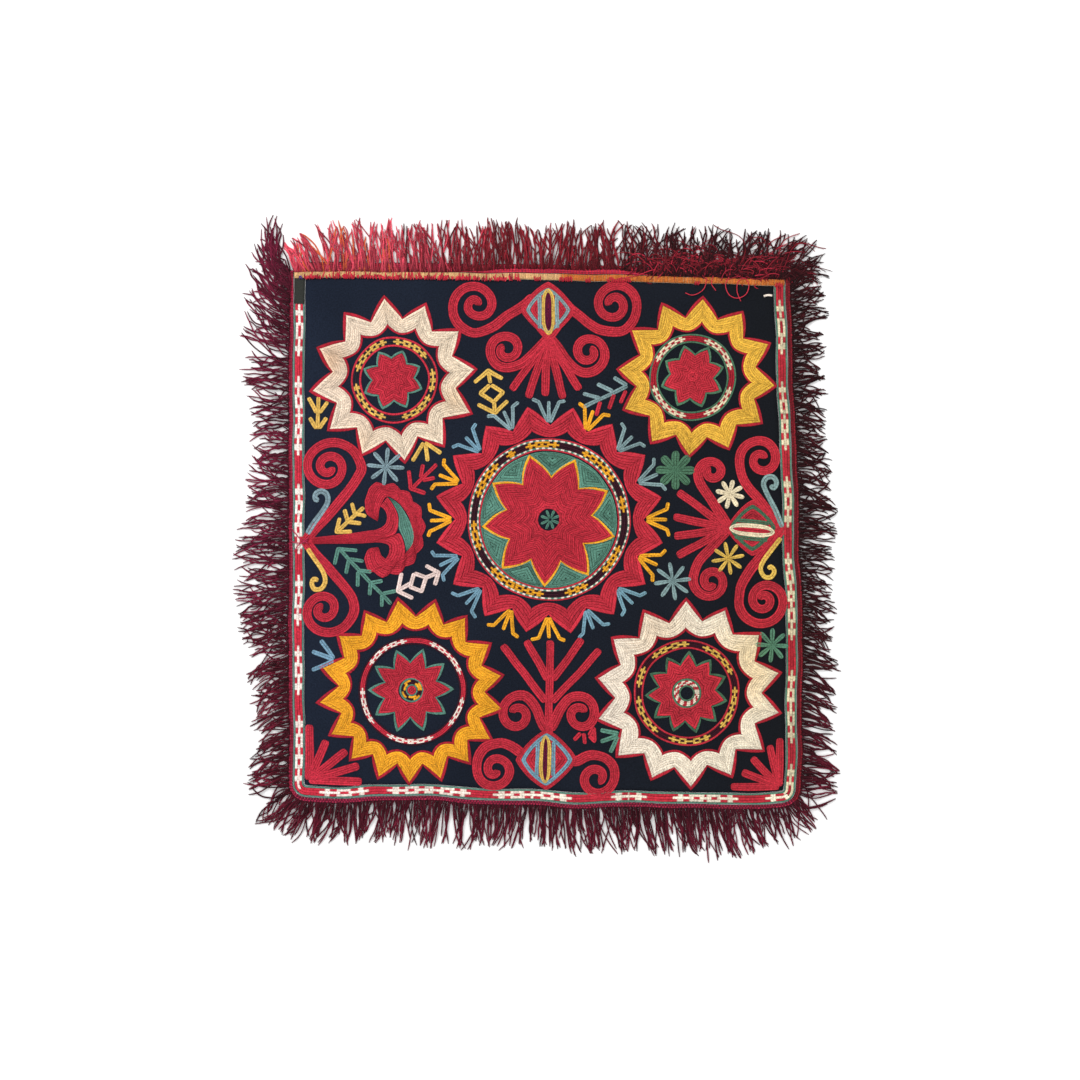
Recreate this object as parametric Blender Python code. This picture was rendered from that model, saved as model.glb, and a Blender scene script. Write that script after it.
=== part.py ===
"""Embroidered panel: a flat lying cloth with raised chain stitch figures, three border strips,
a top binding and fringe on all four sides. Metres, +Z up, the photo's top is +Y.

The figures are given on a working drawing in millimetres whose y runs down. MIDDLE is the
drawing's point that lands on the origin.
"""
import math

import bmesh
import bpy
import numpy as np
from mathutils import Vector
from mathutils.geometry import delaunay_2d_cdt

MM = 0.001
MIDDLE = (535.0, 537.0)

CLOTH_THICK = 1.5       # ground cloth without stitching
RELIEF = 0.9            # how far stitched figures stand above the ground
RAMP = 1.5              # width of a figure's sloping edge
SWELL = 0.18            # unevenness of the ground cloth's upper face
FILL_PITCH = 34.0       # spacing of the plain points between the figures
PART_GAP = 0.4          # gap kept between sewn pieces
HALF_GAP = PART_GAP / 2
CLEAR = 1.3             # least distance of a figure from the cloth's edge
STITCH_HALF = 5.0       # half width of a scroll's stitched band
CURL_SHARE = 0.86       # a scroll's width at its inner end, as a share of that at its foot
FILL_REGION = (320.0, 780.0, 292.0, 785.0)   # left, right, top and foot of the plain points
FILL_CLEAR = 9.0        # least distance of a plain point from a figure's points
UNDER_REGION = (350.0, 760.0, 330.0, 760.0)  # the same for the underside
UNDER_PITCH = 85.0
STATION = 11.0          # spacing of the stations along the seams
TOP_STATION = 12.0      # the same along the binding
BORDER_WIDE = 11.2
BORDER_THICK = 1.7
BORDER_CROWN = 2.5
BINDING_WIDE = 6.2
BINDING_THICK = 1.6
BINDING_CROWN = 2.6
HEADING_WIDE = 8.0      # fringe heading along the sides and the lower edge
TOP_HEADING_WIDE = 12.5
HEADING_EDGE = 1.5
HEADING_CROWN = 2.6
LOCK_PITCH = 9.6        # mean spacing of the fringe locks at the heading's outer wall
LOCK_SHARE = 0.72       # share of that spacing a lock's root takes
LOCK_UNEVEN = 0.12      # how far a lock's ends are moved, as a share of the spacing
LOCK_HIGH = 1.9         # a fringe lock at its root
LOCK_TIP_HIGH = 1.0
LOCK_TIP_HALF = 0.65
LOCK_WAIST = 0.62       # a lock's half width halfway along, as a share of that at its root
CORNER_RADIUS = 2.6
CORNER_STEPS = 5        # points on a corner's turn; its middle one ends two strips

# Sections of the strips: (share across from the inner side, height), in order round.
BORDER_SHAPE = ((0.0, 0.0), (0.0, BORDER_THICK), (0.22, BORDER_CROWN), (0.78, BORDER_CROWN),
                (1.0, BORDER_THICK), (1.0, 0.0))
BINDING_SHAPE = ((0.0, 0.0), (0.0, BINDING_THICK), (0.3, BINDING_CROWN), (0.7, BINDING_CROWN),
                 (1.0, BINDING_THICK), (1.0, 0.0))
HEADING_SHAPE = ((1.0, 0.0), (0.0, 0.0), (0.0, HEADING_EDGE), (0.42, HEADING_CROWN), (1.0, LOCK_HIGH))

# Length of the fringe along each side, as (share along the side, millimetres).
LEFT_LONG = ((0.0, 52.0), (0.06, 46.0), (0.1, 44.0), (0.2, 46.0), (0.28, 36.0), (0.34, 32.0),
             (0.47, 45.0), (0.57, 49.0), (0.63, 44.0), (0.7, 38.0), (0.77, 41.0), (0.86, 33.0),
             (0.93, 34.0), (1.0, 44.0))
FOOT_LONG = ((0.0, 44.0), (0.1, 39.0), (0.3, 43.0), (0.45, 38.0), (0.65, 44.0), (0.85, 46.0), (1.0, 34.0))
RIGHT_LONG = ((0.0, 30.0), (0.1, 36.0), (0.25, 33.0), (0.4, 29.0), (0.52, 34.0), (0.7, 30.0),
              (0.85, 29.0), (1.0, 34.0))
TOP_LONG = ((0.0, 17.0), (0.03, 24.0), (0.07, 39.0), (0.3, 37.0), (0.6, 39.0), (0.85, 39.0), (1.0, 36.0))
# Lean of the fringe along each side, as (share along the side, degrees to the side's far end).
LEFT_LEAN = ((0.0, -80.0), (0.03, -64.0), (0.07, -44.0), (0.14, -24.0), (0.2, -4.0), (0.4, 0.0),
             (0.62, 10.0), (0.75, 20.0), (0.92, 22.0), (1.0, 8.0))
FOOT_LEAN = ((0.0, -12.0), (0.06, -26.0), (0.15, -15.0), (0.3, -4.0), (0.5, 0.0), (0.7, 11.0),
             (0.86, 17.0), (0.95, 20.0), (1.0, 8.0))
RIGHT_LEAN = ((0.0, -8.0), (0.1, -20.0), (0.35, -19.0), (0.5, -8.0), (0.7, -12.0), (0.88, 0.0),
              (0.95, 22.0), (1.0, 40.0))
TOP_LEAN = ((0.0, 4.0), (0.1, -2.0), (0.5, 0.0), (0.85, 6.0), (1.0, 24.0))

# Seam between the ground cloth and the border, down the left, along the foot, up the right.
LEFT_SEAM = ((305.6, 270.0), (305.6, 300.0), (304.9, 340.0), (304.4, 440.0), (304.6, 560.0),
             (304.0, 650.0), (305.0, 720.0), (304.6, 782.0))
FOOT_SEAM = ((307.6, 785.0), (340.0, 787.4), (375.0, 784.4), (430.0, 784.4), (480.0, 788.0),
             (540.0, 789.6), (580.0, 792.4), (620.0, 790.8), (690.0, 792.0), (740.0, 793.2),
             (781.0, 791.2))
RIGHT_SEAM = ((784.2, 788.6), (785.4, 760.0), (785.2, 700.0), (786.0, 640.0), (785.4, 600.0),
              (782.6, 560.0), (781.8, 500.0), (779.4, 440.0), (776.8, 390.0), (775.6, 340.0),
              (773.8, 290.0), (773.4, 276.0))
# Lower edge of the top binding.
TOP_SEAM = ((294.8, 278.0), (370.0, 278.0), (450.0, 279.2), (550.0, 280.4), (640.0, 282.2),
            (700.0, 283.8), (784.4, 286.2))

# Pointed ring figures: middle, number of points, radii of the points, of the valleys between
# them, of the inner cusps and arcs, and the first point's angle. Crowd is how many degrees the
# points have drifted on the far side from a turn of 10 degrees, where they are widest apart.
RINGS = (
    # x, y, points, tip, valley, cusp, arc, first, crowd
    (394.4, 379.8, 12, 85.0, 63.5, 53.0, 45.6, 97.0, 0.0),
    (696.5, 377.2, 12, 82.0, 62.8, 53.0, 45.8, 84.5, 0.0),
    (411.5, 691.0, 17, 95.5, 75.5, 65.0, 59.5, 94.5, 7.5),
    (688.0, 694.0, 14, 96.0, 75.8, 63.6, 57.0, 91.0, 2.0),
    (549.5, 520.0, 16, 115.0, 94.8, 90.6, 82.8, 101.2, 0.0),
)
# Round bands inside the rings: middle, outer radius, inner radius.
BANDS = (
    (394.8, 380.0, 43.4, 33.2),
    (692.5, 377.3, 43.6, 34.6),
    (412.8, 690.8, 53.8, 46.6),
    (686.4, 692.7, 53.0, 44.0),
)
CENTRE_DISC = (549.0, 519.6, 80.6)
# Stars: middle, points, tip radius, valley radius, first point's angle.
STARS = (
    (392.8, 379.4, 8, 31.5, 22.0, 72.0),
    (692.8, 376.2, 8, 33.0, 23.0, 62.0),
    (409.5, 690.0, 10, 43.0, 28.0, 73.0),
    (686.5, 692.0, 11, 42.0, 30.0, 87.0),
)
# Scrolls: the stem's points, then the spiral's middle, its first angle, its turning sense (1 is
# counterclockwise) and its radius at each further quarter turn.
SCROLLS = (
    (((520.0, 306.5), (507.0, 315.5), (493.0, 326.5)), (475.0, 305.5), 270.0, -1,
     (28.0, 21.5, 19.0, 17.6, 9.6, 6.2, 6.0, 3.6)),
    (((580.0, 314.5), (591.0, 324.5), (602.0, 330.0)), (614.0, 304.0), 285.0, 1,
     (28.4, 21.5, 17.6, 15.0, 13.0, 8.4, 6.6, 5.0)),
    (((537.0, 350.5), (530.0, 357.0), (521.0, 363.6)), (505.0, 350.0), 285.0, -1,
     (18.0, 15.0, 14.0, 14.0, 7.4, 5.0, 4.0)),
    (((558.5, 349.5), (565.0, 358.5), (573.0, 367.0)), (588.0, 353.0), 255.0, 1,
     (19.8, 17.0, 14.6, 11.4, 7.4, 6.0, 4.4)),
    (((312.5, 531.0), (328.0, 515.0), (347.0, 493.0), (358.0, 478.0)), (328.0, 467.0), 0.0, 1,
     (34.0, 22.6, 20.0, 17.6, 14.6, 10.0, 7.0, 6.0, 4.0)),
    (((314.5, 552.5), (328.0, 567.0), (343.0, 585.5), (352.5, 599.0)), (323.0, 610.0), 355.0, -1,
     (31.0, 21.4, 14.4, 14.0, 11.2, 7.2, 4.8, 3.6)),
    (((757.5, 499.0), (749.0, 489.0), (742.5, 477.0)), (761.0, 459.0), 190.0, -1,
     (21.6, 19.0, 15.0, 12.0, 7.2, 5.4, 4.2)),
    (((760.5, 557.5), (750.0, 570.0), (741.5, 584.0)), (763.0, 600.0), 165.0, 1,
     (24.6, 24.0, 20.6, 15.6, 10.4, 9.0, 7.0, 5.4, 4.0)),
    (((721.0, 515.5), (711.0, 500.0), (701.5, 485.5)), (712.0, 471.0), 195.0, -1,
     (14.4, 8.6, 9.4, 8.0, 5.0, 3.4)),
    (((721.0, 537.5), (711.0, 548.0), (699.0, 561.5)), (710.0, 582.0), 160.0, 1,
     (17.6, 14.6, 13.0, 11.0, 6.6, 5.0, 3.6)),
    (((514.0, 747.5), (506.0, 743.6)), (494.0, 769.0), 80.0, 1,
     (26.8, 17.0, 16.4, 16.4, 10.6, 6.0, 5.2, 4.0)),
    (((578.5, 760.0), (585.0, 756.6)), (597.0, 777.0), 100.0, -1,
     (22.6, 17.6, 16.0, 13.0, 8.2, 5.4, 4.2)),
    (((541.0, 720.0), (536.0, 708.0), (528.0, 697.5)), (516.5, 713.0), 80.0, 1,
     (18.2, 12.6, 14.0, 10.0, 5.6, 3.8)),
    (((555.5, 720.0), (561.0, 709.0), (569.0, 699.0)), (581.0, 713.0), 100.0, -1,
     (17.0, 13.6, 14.0, 10.2, 5.4, 3.8)),
)
# Fans of fingers: root, finger width, finger tips from one side to the other.
FANS = (
    ((548.0, 339.5), 8.0,
     ((511.5, 390.0), (528.0, 398.5), (545.0, 396.5), (563.5, 398.5), (580.0, 390.0))),
    ((727.0, 528.0), 8.0, ((677.5, 556.0), (674.0, 536.5), (673.0, 516.5), (678.0, 491.5))),
    ((309.5, 779.5), 8.4,
     ((309.5, 724.5), (326.0, 740.0), (346.5, 750.5), (359.0, 766.0), (362.0, 782.0))),
    ((779.5, 786.0), 7.6,
     ((731.0, 787.0), (742.0, 772.0), (751.5, 758.0), (769.0, 745.0), (779.5, 738.0))),
)
# The foot's tree: trunk ends, branch width, and each branch's root on the trunk and its tip.
TRUNK = ((549.0, 725.5), (550.0, 640.0))
TREE_WIDE = 7.6
BRANCHES = (
    ((545.0, 700.5), (502.0, 645.0)),
    ((546.5, 678.5), (526.0, 641.0)),
    ((553.5, 678.5), (582.5, 638.5)),
    ((553.0, 700.5), (600.0, 649.5)),
)
# Rounded diamonds: middle, reach left, right, up and down.
DIAMONDS = (
    (548.5, 310.0, 28.5, 28.5, 27.5, 27.5),
    (753.5, 528.0, 26.5, 28.5, 25.5, 25.0),
    (546.5, 760.0, 31.0, 30.5, 30.5, 29.5),
)
# Horned figure on the left: bar, two hooks and a lobed back.
HORN_MIDDLE = (384.0, 529.5)
HORN_REACH = (40.0, 46.0)
HORN_LOBES = 8
# Three fingered sprigs in the valleys of the middle ring.
SPRIG_MIDDLE = (549.5, 520.0)
SPRIGS = 16
SPRIG_FIRST = 90.0
SPRIG_FOOT = 98.5
SPRIG_LONG = 21.0
SPRIG_SPREAD = (-12.0, 0.0, 12.0)
# Small many rayed stars: middle, rays, reach, first ray's angle, half width of a ray.
SMALL_STARS = (
    (386.0, 466.5, 8, 17.5, 85.0, 2.0),
    (675.5, 470.0, 8, 18.5, 90.0, 3.2),
    (729.5, 494.5, 8, 14.0, 88.0, 2.2),
    (728.0, 558.5, 8, 15.0, 97.0, 2.0),
    (672.5, 581.0, 8, 17.0, 92.0, 2.0),
    (771.5, 645.0, 8, 16.0, 92.0, 2.2),
)
# Twigs, prongs, hooks and lozenges two rows wide, each a run of points.
TWIG_WIDE = 3.8
TWIGS = (
    ((318.5, 399.0), (317.5, 428.0)), ((309.5, 398.0), (316.0, 412.0)), ((327.0, 403.0), (320.0, 412.0)),
    ((310.0, 418.5), (316.0, 427.0)), ((325.5, 418.5), (319.5, 427.0)),
    ((422.0, 444.5), (412.0, 460.5)), ((424.0, 447.0), (427.0, 461.0)), ((425.0, 444.5), (440.0, 454.0)),
    ((435.5, 465.5), (413.5, 486.5)), ((422.0, 465.5), (421.0, 477.0)), ((434.5, 478.0), (424.0, 480.0)),
    ((408.5, 472.0), (410.0, 488.0), (425.0, 493.0)),
    ((475.0, 382.5), (488.5, 371.5), (503.0, 379.0)), ((489.5, 375.0), (491.0, 381.5)),
    ((492.0, 385.0), (503.0, 392.0), (494.0, 402.0), (481.0, 393.5), (489.0, 385.0)),
    ((477.5, 404.5), (494.5, 413.0), (508.0, 401.0)),
    ((401.0, 573.5), (397.0, 590.0), (411.5, 597.5)), ((400.5, 588.0), (406.5, 585.5)),
    ((412.5, 573.5), (425.5, 577.5), (420.5, 591.5), (409.5, 586.0), (411.5, 576.5)),
    ((424.5, 567.0), (437.0, 572.5), (433.5, 585.5)), ((428.5, 576.0), (433.5, 574.0)),
    ((307.5, 531.0), (322.0, 511.0), (328.5, 499.5), (325.5, 491.5), (318.0, 490.5), (314.5, 495.5),
     (319.0, 499.5)),
    ((308.0, 549.0), (315.0, 558.0), (323.0, 572.0), (325.5, 583.0), (320.0, 590.0), (312.5, 588.0),
     (311.5, 581.5), (317.0, 580.5)),
    ((340.0, 528.0), (362.0, 509.0)), ((338.0, 519.0), (337.0, 531.0), (351.5, 531.5)),
    ((344.5, 511.0), (347.5, 519.0)), ((352.5, 523.5), (360.5, 524.0)), ((351.5, 504.0), (354.0, 511.0)),
    ((359.0, 515.5), (364.5, 517.0)),
    ((342.0, 552.0), (360.0, 572.0), (388.5, 601.0)), ((335.0, 563.0), (338.0, 549.0), (357.0, 550.5)),
    ((346.5, 571.5), (348.5, 563.5)), ((354.5, 560.0), (362.5, 561.5)), ((357.0, 585.0), (357.5, 574.5)),
    ((363.5, 571.5), (371.0, 572.0)), ((369.5, 593.5), (370.5, 587.5)), ((374.5, 582.0), (381.5, 581.0)),
    ((380.5, 603.5), (381.0, 598.5)), ((385.5, 594.0), (394.0, 591.5)),
    ((333.5, 658.5), (322.0, 641.0)), ((331.0, 660.0), (312.5, 651.5)), ((332.0, 663.0), (313.0, 670.5)),
    ((585.5, 405.5), (626.0, 386.5)), ((584.5, 393.5), (598.0, 396.5)), ((597.0, 383.5), (611.0, 389.0)),
    ((614.0, 377.5), (625.0, 383.0)),
    ((597.5, 413.0), (601.0, 401.5)), ((609.0, 408.5), (614.5, 394.5)), ((620.5, 402.5), (625.5, 391.0)),
    ((781.0, 520.0), (772.0, 503.0), (764.0, 488.5), (764.5, 480.0), (771.0, 476.5), (776.5, 481.0),
     (772.0, 486.0)),
    ((780.0, 539.0), (771.0, 549.0), (762.5, 561.0), (761.5, 571.5), (767.0, 577.0), (773.0, 573.0),
     (770.0, 568.0)),
    ((617.5, 732.5), (601.0, 731.0)), ((616.0, 736.0), (601.5, 741.0)), ((617.0, 739.0), (611.0, 751.0)),
    ((579.0, 734.0), (574.0, 740.0)), ((583.5, 734.5), (584.5, 742.5)), ((590.5, 732.0), (592.0, 739.0)),
)


def smooth(points, step):
    """Points of a rounded line through the given ones, about step apart: a cubic runs between
    neighbours, its slope at each given point that of the chord across it."""
    given = np.array(points, float)
    ends = np.vstack([2 * given[0] - given[1], given, 2 * given[-1] - given[-2]])
    out = [given[0]]
    for i in range(len(given) - 1):
        a, b, c, d = ends[i:i + 4]
        count = max(1, int(round(np.hypot(*(c - b)) / step)))
        t = (np.arange(1, count + 1) / count)[:, None]
        out.extend(0.5 * (2 * b + (c - a) * t + (2 * a - 5 * b + 4 * c - d) * t ** 2
                          + (3 * b - a - 3 * c + d) * t ** 3))
    return np.array(out)


def normals(line):
    """Unit normals of a line, on the left hand of its run as the drawing is seen."""
    along = np.gradient(line, axis=0)
    along /= np.hypot(along[:, 0], along[:, 1])[:, None]
    return np.stack([-along[:, 1], along[:, 0]], axis=1)


def ribbon(line, half):
    """Closed outline of a band along a line, half its width to each side, with blunt ends."""
    side = normals(line) * half
    return np.vstack([line + side, (line - side)[::-1]])


def spiral(middle, first, sense, radii):
    """Points on a spiral whose radius runs smoothly through one value each quarter turn. The
    three outer quarters have three steps each, the rest two."""
    quarters = np.arange(len(radii))
    t = np.concatenate([np.arange(0, 3, 1 / 3), np.arange(3, len(radii) - 0.99, 1 / 2)])
    radius = np.interp(t, quarters, radii)
    radius[1:-1] = 0.25 * radius[:-2] + 0.5 * radius[1:-1] + 0.25 * radius[2:]
    angle = np.radians(first + sense * 90 * t)
    return np.stack([middle[0] + radius * np.cos(angle), middle[1] - radius * np.sin(angle)], axis=1)


def drifted(angle, crowd):
    """Angles in degrees, moved on by up to crowd, most at 190 degrees and not at 10."""
    return angle + crowd * 0.5 * (1 - np.cos(np.radians(angle - 10.0)))


def toothed(x, y, points, tip, valley, first, crowd=0.0):
    """Closed zigzag: a point at each tip radius, a valley halfway to the next."""
    angle = np.radians(drifted(first + 180.0 / points * np.arange(2 * points), crowd))
    radius = np.where(np.arange(2 * points) % 2 == 0, tip, valley)
    return np.stack([x + radius * np.cos(angle), y - radius * np.sin(angle)], axis=1)


def scalloped(x, y, points, cusp, arc, first, crowd=0.0):
    """Closed scalloped line: cusps under the points, arcs bowed to the middle between them."""
    quarter = np.arange(4 * points)
    angle = np.radians(drifted(first + 90.0 / points * quarter, crowd))
    bow = np.sin(math.pi * (quarter % 4) / 4) ** 0.7
    radius = cusp + (arc - cusp) * bow
    return np.stack([x + radius * np.cos(angle), y - radius * np.sin(angle)], axis=1)


def circle(x, y, radius, count):
    """Closed regular polygon of count points on a circle."""
    angle = 2 * math.pi * np.arange(count) / count
    return np.stack([x + radius * np.cos(angle), y - radius * np.sin(angle)], axis=1)


def turn(a, b):
    """Positive where b lies clockwise of a as the drawing is seen: the plane cross product."""
    return a[..., 0] * b[..., 1] - a[..., 1] * b[..., 0]


def fan(root, wide, tips):
    """Closed outline of fingers that spread from one root, and the fingers' middle lines."""
    root = np.array(root)
    tips = np.array(tips)
    outline = []
    ridges = []
    for i, tip in enumerate(tips):
        way = tip - root
        length = np.hypot(*way)
        way /= length
        side = np.array([way[1], -way[0]]) * (wide / 2)
        side = side * math.copysign(1.0, turn(tips[0] - root, tips[-1] - root))
        if i == 0:
            outline.append(root + side * 0.8)
        outline.extend([tip + side * 0.9 - way * 2.5, tip + way * 1.4 + side * 0.4,
                        tip + way * 1.4 - side * 0.4, tip - side * 0.9 - way * 2.5])
        ridges.append(np.array([root + way * 0.62 * length, tip - way * 2.4]))
        if i < len(tips) - 1:
            after = tips[i + 1] - root
            after /= np.hypot(*after)
            half_angle = 0.5 * math.acos(float(np.clip(way @ after, -1, 1)))
            split = way + after
            split /= np.hypot(*split)
            outline.append(root + split * (wide / 2) / math.sin(half_angle))
        else:
            outline.append(root - side * 0.8)
    return np.array(outline), ridges


def diamond(x, y, left, right, up, down, share):
    """Closed rounded diamond, its reaches scaled by share."""
    angle = 2 * math.pi * np.arange(16) / 16
    c, s = np.cos(angle), np.sin(angle)
    reach_x = np.where(c > 0, right, left) * share
    reach_y = np.where(s > 0, up, down) * share
    bulge = 1.25
    scale = (np.abs(c) ** bulge + np.abs(s) ** bulge) ** (-1 / bulge)
    return np.stack([x + reach_x * c * scale, y - reach_y * s * scale], axis=1)


def horn_outline():
    """Closed outline of the horned figure: back lobes on half an oval, hooks, and the bar."""
    x, y = HORN_MIDDLE
    a, b = HORN_REACH
    t = np.linspace(112.0, -104.0, 2 * HORN_LOBES + 1)
    lobe = np.where(np.arange(len(t)) % 2 == 1, 1.06, 0.96)
    back = np.stack([x + a * lobe * np.cos(np.radians(t)), y - b * lobe * np.sin(np.radians(t))], axis=1)
    lower = ((368.0, 568.0), (364.5, 556.0), (369.0, 549.0), (377.0, 546.5), (379.5, 550.0),
             (379.0, 556.5), (384.0, 557.0), (389.5, 551.0), (389.0, 545.0), (372.0, 542.5),
             (318.0, 546.0))
    upper = ((318.0, 537.5), (370.0, 530.5), (381.0, 528.5), (386.0, 521.0), (385.5, 512.0),
             (380.5, 507.5), (379.0, 513.0), (378.0, 520.0), (371.0, 520.5), (365.0, 510.0))
    return np.vstack([back, lower, upper])


def inside(points, outline):
    """Whether each point lies in a closed outline, by the crossings of a ray to the right."""
    x, y = points[:, 0][:, None], points[:, 1][:, None]
    a = outline
    b = np.roll(outline, -1, axis=0)
    spans = (a[:, 1] > y) != (b[:, 1] > y)
    rise = np.where(b[:, 1] == a[:, 1], 1e-12, b[:, 1] - a[:, 1])
    cross = x < a[:, 0] + (y - a[:, 1]) * (b[:, 0] - a[:, 0]) / rise
    return np.sum(spans & cross, axis=1) % 2 == 1


def edge_distance(points, outline):
    """Distance of each point from the nearest side of a closed outline."""
    a = outline[None]
    way = (np.roll(outline, -1, axis=0) - outline)[None]
    p = points[:, None]
    share = np.clip(np.sum((p - a) * way, axis=2) / np.maximum(np.sum(way * way, axis=2), 1e-9), 0, 1)
    gap = p - a - share[..., None] * way
    return np.min(np.hypot(gap[..., 0], gap[..., 1]), axis=1)


def mesh_object(name, verts, faces, colour, rough):
    """One named closed body with its own material; verts are drawing millimetres and height."""
    verts = np.asarray(verts, float)
    placed = np.stack([verts[:, 0] - MIDDLE[0], MIDDLE[1] - verts[:, 1], verts[:, 2]], axis=1) * MM
    mesh = bpy.data.meshes.new(name)
    mesh.from_pydata(placed.tolist(), [], faces)
    body = bmesh.new()
    body.from_mesh(mesh)
    bmesh.ops.recalc_face_normals(body, faces=body.faces)
    bmesh.ops.triangulate(body, faces=body.faces)
    body.to_mesh(mesh)
    body.free()
    material = bpy.data.materials.new(name + " fabric")
    material.use_nodes = True
    shader = next(n for n in material.node_tree.nodes if n.type == "BSDF_PRINCIPLED")
    shader.inputs["Base Color"].default_value = (*colour, 1.0)
    shader.inputs["Roughness"].default_value = rough
    mesh.materials.append(material)
    obj = bpy.data.objects.new(name, mesh)
    bpy.context.scene.collection.objects.link(obj)
    return obj


def corner(centre, start, stop):
    """Points on a corner's turn; angles in degrees, counterclockwise as the drawing is seen."""
    angle = np.radians(np.linspace(start, stop, CORNER_STEPS))
    return np.stack([centre[0] + CORNER_RADIUS * np.cos(angle),
                     centre[1] - CORNER_RADIUS * np.sin(angle)], axis=1)


def seam_line():
    """The border seam as one line: down the left, round, along the foot, round, up the right.
    Returns its points, its outward normals and the places of the two corner middles."""
    left = smooth(LEFT_SEAM, STATION)
    foot = smooth(FOOT_SEAM, STATION)
    right = smooth(RIGHT_SEAM, STATION)
    turn_left = corner((left[-1, 0] + CORNER_RADIUS, foot[0, 1] - CORNER_RADIUS), 190, 260)
    turn_right = corner((right[0, 0] - CORNER_RADIUS, foot[-1, 1] - CORNER_RADIUS), 280, 350)
    line = np.vstack([left, turn_left, foot[1:-1], turn_right, right[1:]])
    outward = normals(line)
    if outward[0, 0] > 0:
        outward = -outward
    half_turn = CORNER_STEPS // 2
    left_end = len(left) + half_turn
    foot_end = len(left) + CORNER_STEPS + len(foot) - 2 + half_turn
    return line, outward, left_end, foot_end


def strip(rings):
    """Closed body through rings of equal count; each ring runs round the section."""
    rings = np.asarray(rings, float)
    count, around = rings.shape[:2]
    faces = []
    for i in range(count - 1):
        for j in range(around):
            k = (j + 1) % around
            faces.append((i * around + j, i * around + k, (i + 1) * around + k, (i + 1) * around + j))
    faces.append(tuple(reversed(range(around))))
    faces.append(tuple((count - 1) * around + j for j in range(around)))
    return rings.reshape(-1, 3), faces


def section(point, outward, near, far, shape):
    """A ring of points across a strip: shape gives the share across from near to far and the
    height, in order round the section."""
    share = np.array([s for s, _ in shape])
    high = np.array([h for _, h in shape])
    across = near + share * (far - near)
    return np.column_stack([point[0] + across * outward[0], point[1] + across * outward[1], high])


def cloth_sides(seam, seam_out):
    """The ground cloth's closed outline, and its left, right, foot and top sides as lines
    sorted along their run."""
    top = smooth(TOP_SEAM, STATION)
    top_edge = np.column_stack([top[:, 0], top[:, 1] + HALF_GAP])
    side_edge = seam - seam_out * HALF_GAP
    first = np.interp(side_edge[0, 0], top_edge[:, 0], top_edge[:, 1])
    last = np.interp(side_edge[-1, 0], top_edge[:, 0], top_edge[:, 1])
    low = side_edge[:, 1] > np.where(side_edge[:, 0] < MIDDLE[0], first, last) + 3.0
    side_edge = side_edge[low]
    keep = (top_edge[:, 0] > side_edge[0, 0] + 3) & (top_edge[:, 0] < side_edge[-1, 0] - 3)
    start = (side_edge[0, 0], first)
    stop = (side_edge[-1, 0], last)
    outline = np.vstack([[start], side_edge, [stop], top_edge[keep][::-1]])
    left = side_edge[side_edge[:, 0] < 320]
    right = side_edge[side_edge[:, 0] > 770]
    foot = side_edge[side_edge[:, 1] > 770]
    left = left[np.argsort(left[:, 1])]
    right = right[np.argsort(right[:, 1])]
    foot = foot[np.argsort(foot[:, 0])]
    return outline, (left, right, foot, top_edge)


def kept(line, sides):
    """The line drawn back where it would come nearer than CLEAR to one of the cloth's sides."""
    left, right, foot, top = sides
    x = np.maximum(line[:, 0], np.interp(line[:, 1], left[:, 1], left[:, 0]) + CLEAR)
    x = np.minimum(x, np.interp(line[:, 1], right[:, 1], right[:, 0]) - CLEAR)
    y = np.minimum(line[:, 1], np.interp(x, foot[:, 0], foot[:, 1]) - CLEAR)
    y = np.maximum(y, np.interp(x, top[:, 0], top[:, 1]) + CLEAR)
    return np.stack([x, y], axis=1)


def round_figures(sides):
    """Figures as (outer, inner) outlines, inner None where there is no hole, and their closed
    ridge lines: pointed rings, round bands, the centre disc, stars and diamonds."""
    figures = []
    ridges = []
    for x, y, points, tip, valley, cusp, arc, *angles in RINGS:
        slope = math.hypot(tip - valley, math.pi * (tip + valley) / 2 / points) / (math.pi * tip / points)
        figures.append((kept(toothed(x, y, points, tip, valley, *angles), sides),
                        scalloped(x, y, points, cusp, arc, *angles)))
        ridge = toothed(x, y, points, tip - RAMP * slope * 2.0, valley - RAMP, *angles)
        ridges.append(kept(ridge, sides))
        ridges.append(scalloped(x, y, points, cusp + RAMP, arc + RAMP, *angles))
    for x, y, outer, inner in BANDS:
        figures.append((circle(x, y, outer, 24), circle(x, y, inner, 24)))
        ridges.append(circle(x, y, (outer + inner) / 2, 24))
    figures.append((circle(*CENTRE_DISC, 32), None))
    ridges.append(circle(CENTRE_DISC[0], CENTRE_DISC[1], CENTRE_DISC[2] - RAMP, 32))
    for x, y, points, tip, valley, first_angle in STARS:
        figures.append((toothed(x, y, points, tip, valley, first_angle), None))
        ridges.append(toothed(x, y, points, tip - 3.4, valley - RAMP, first_angle))
    for row in DIAMONDS:
        figures.append((kept(diamond(*row, 1.0), sides), None))
        ridges.append(kept(diamond(*row, 0.9), sides))
    return figures, ridges


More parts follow.
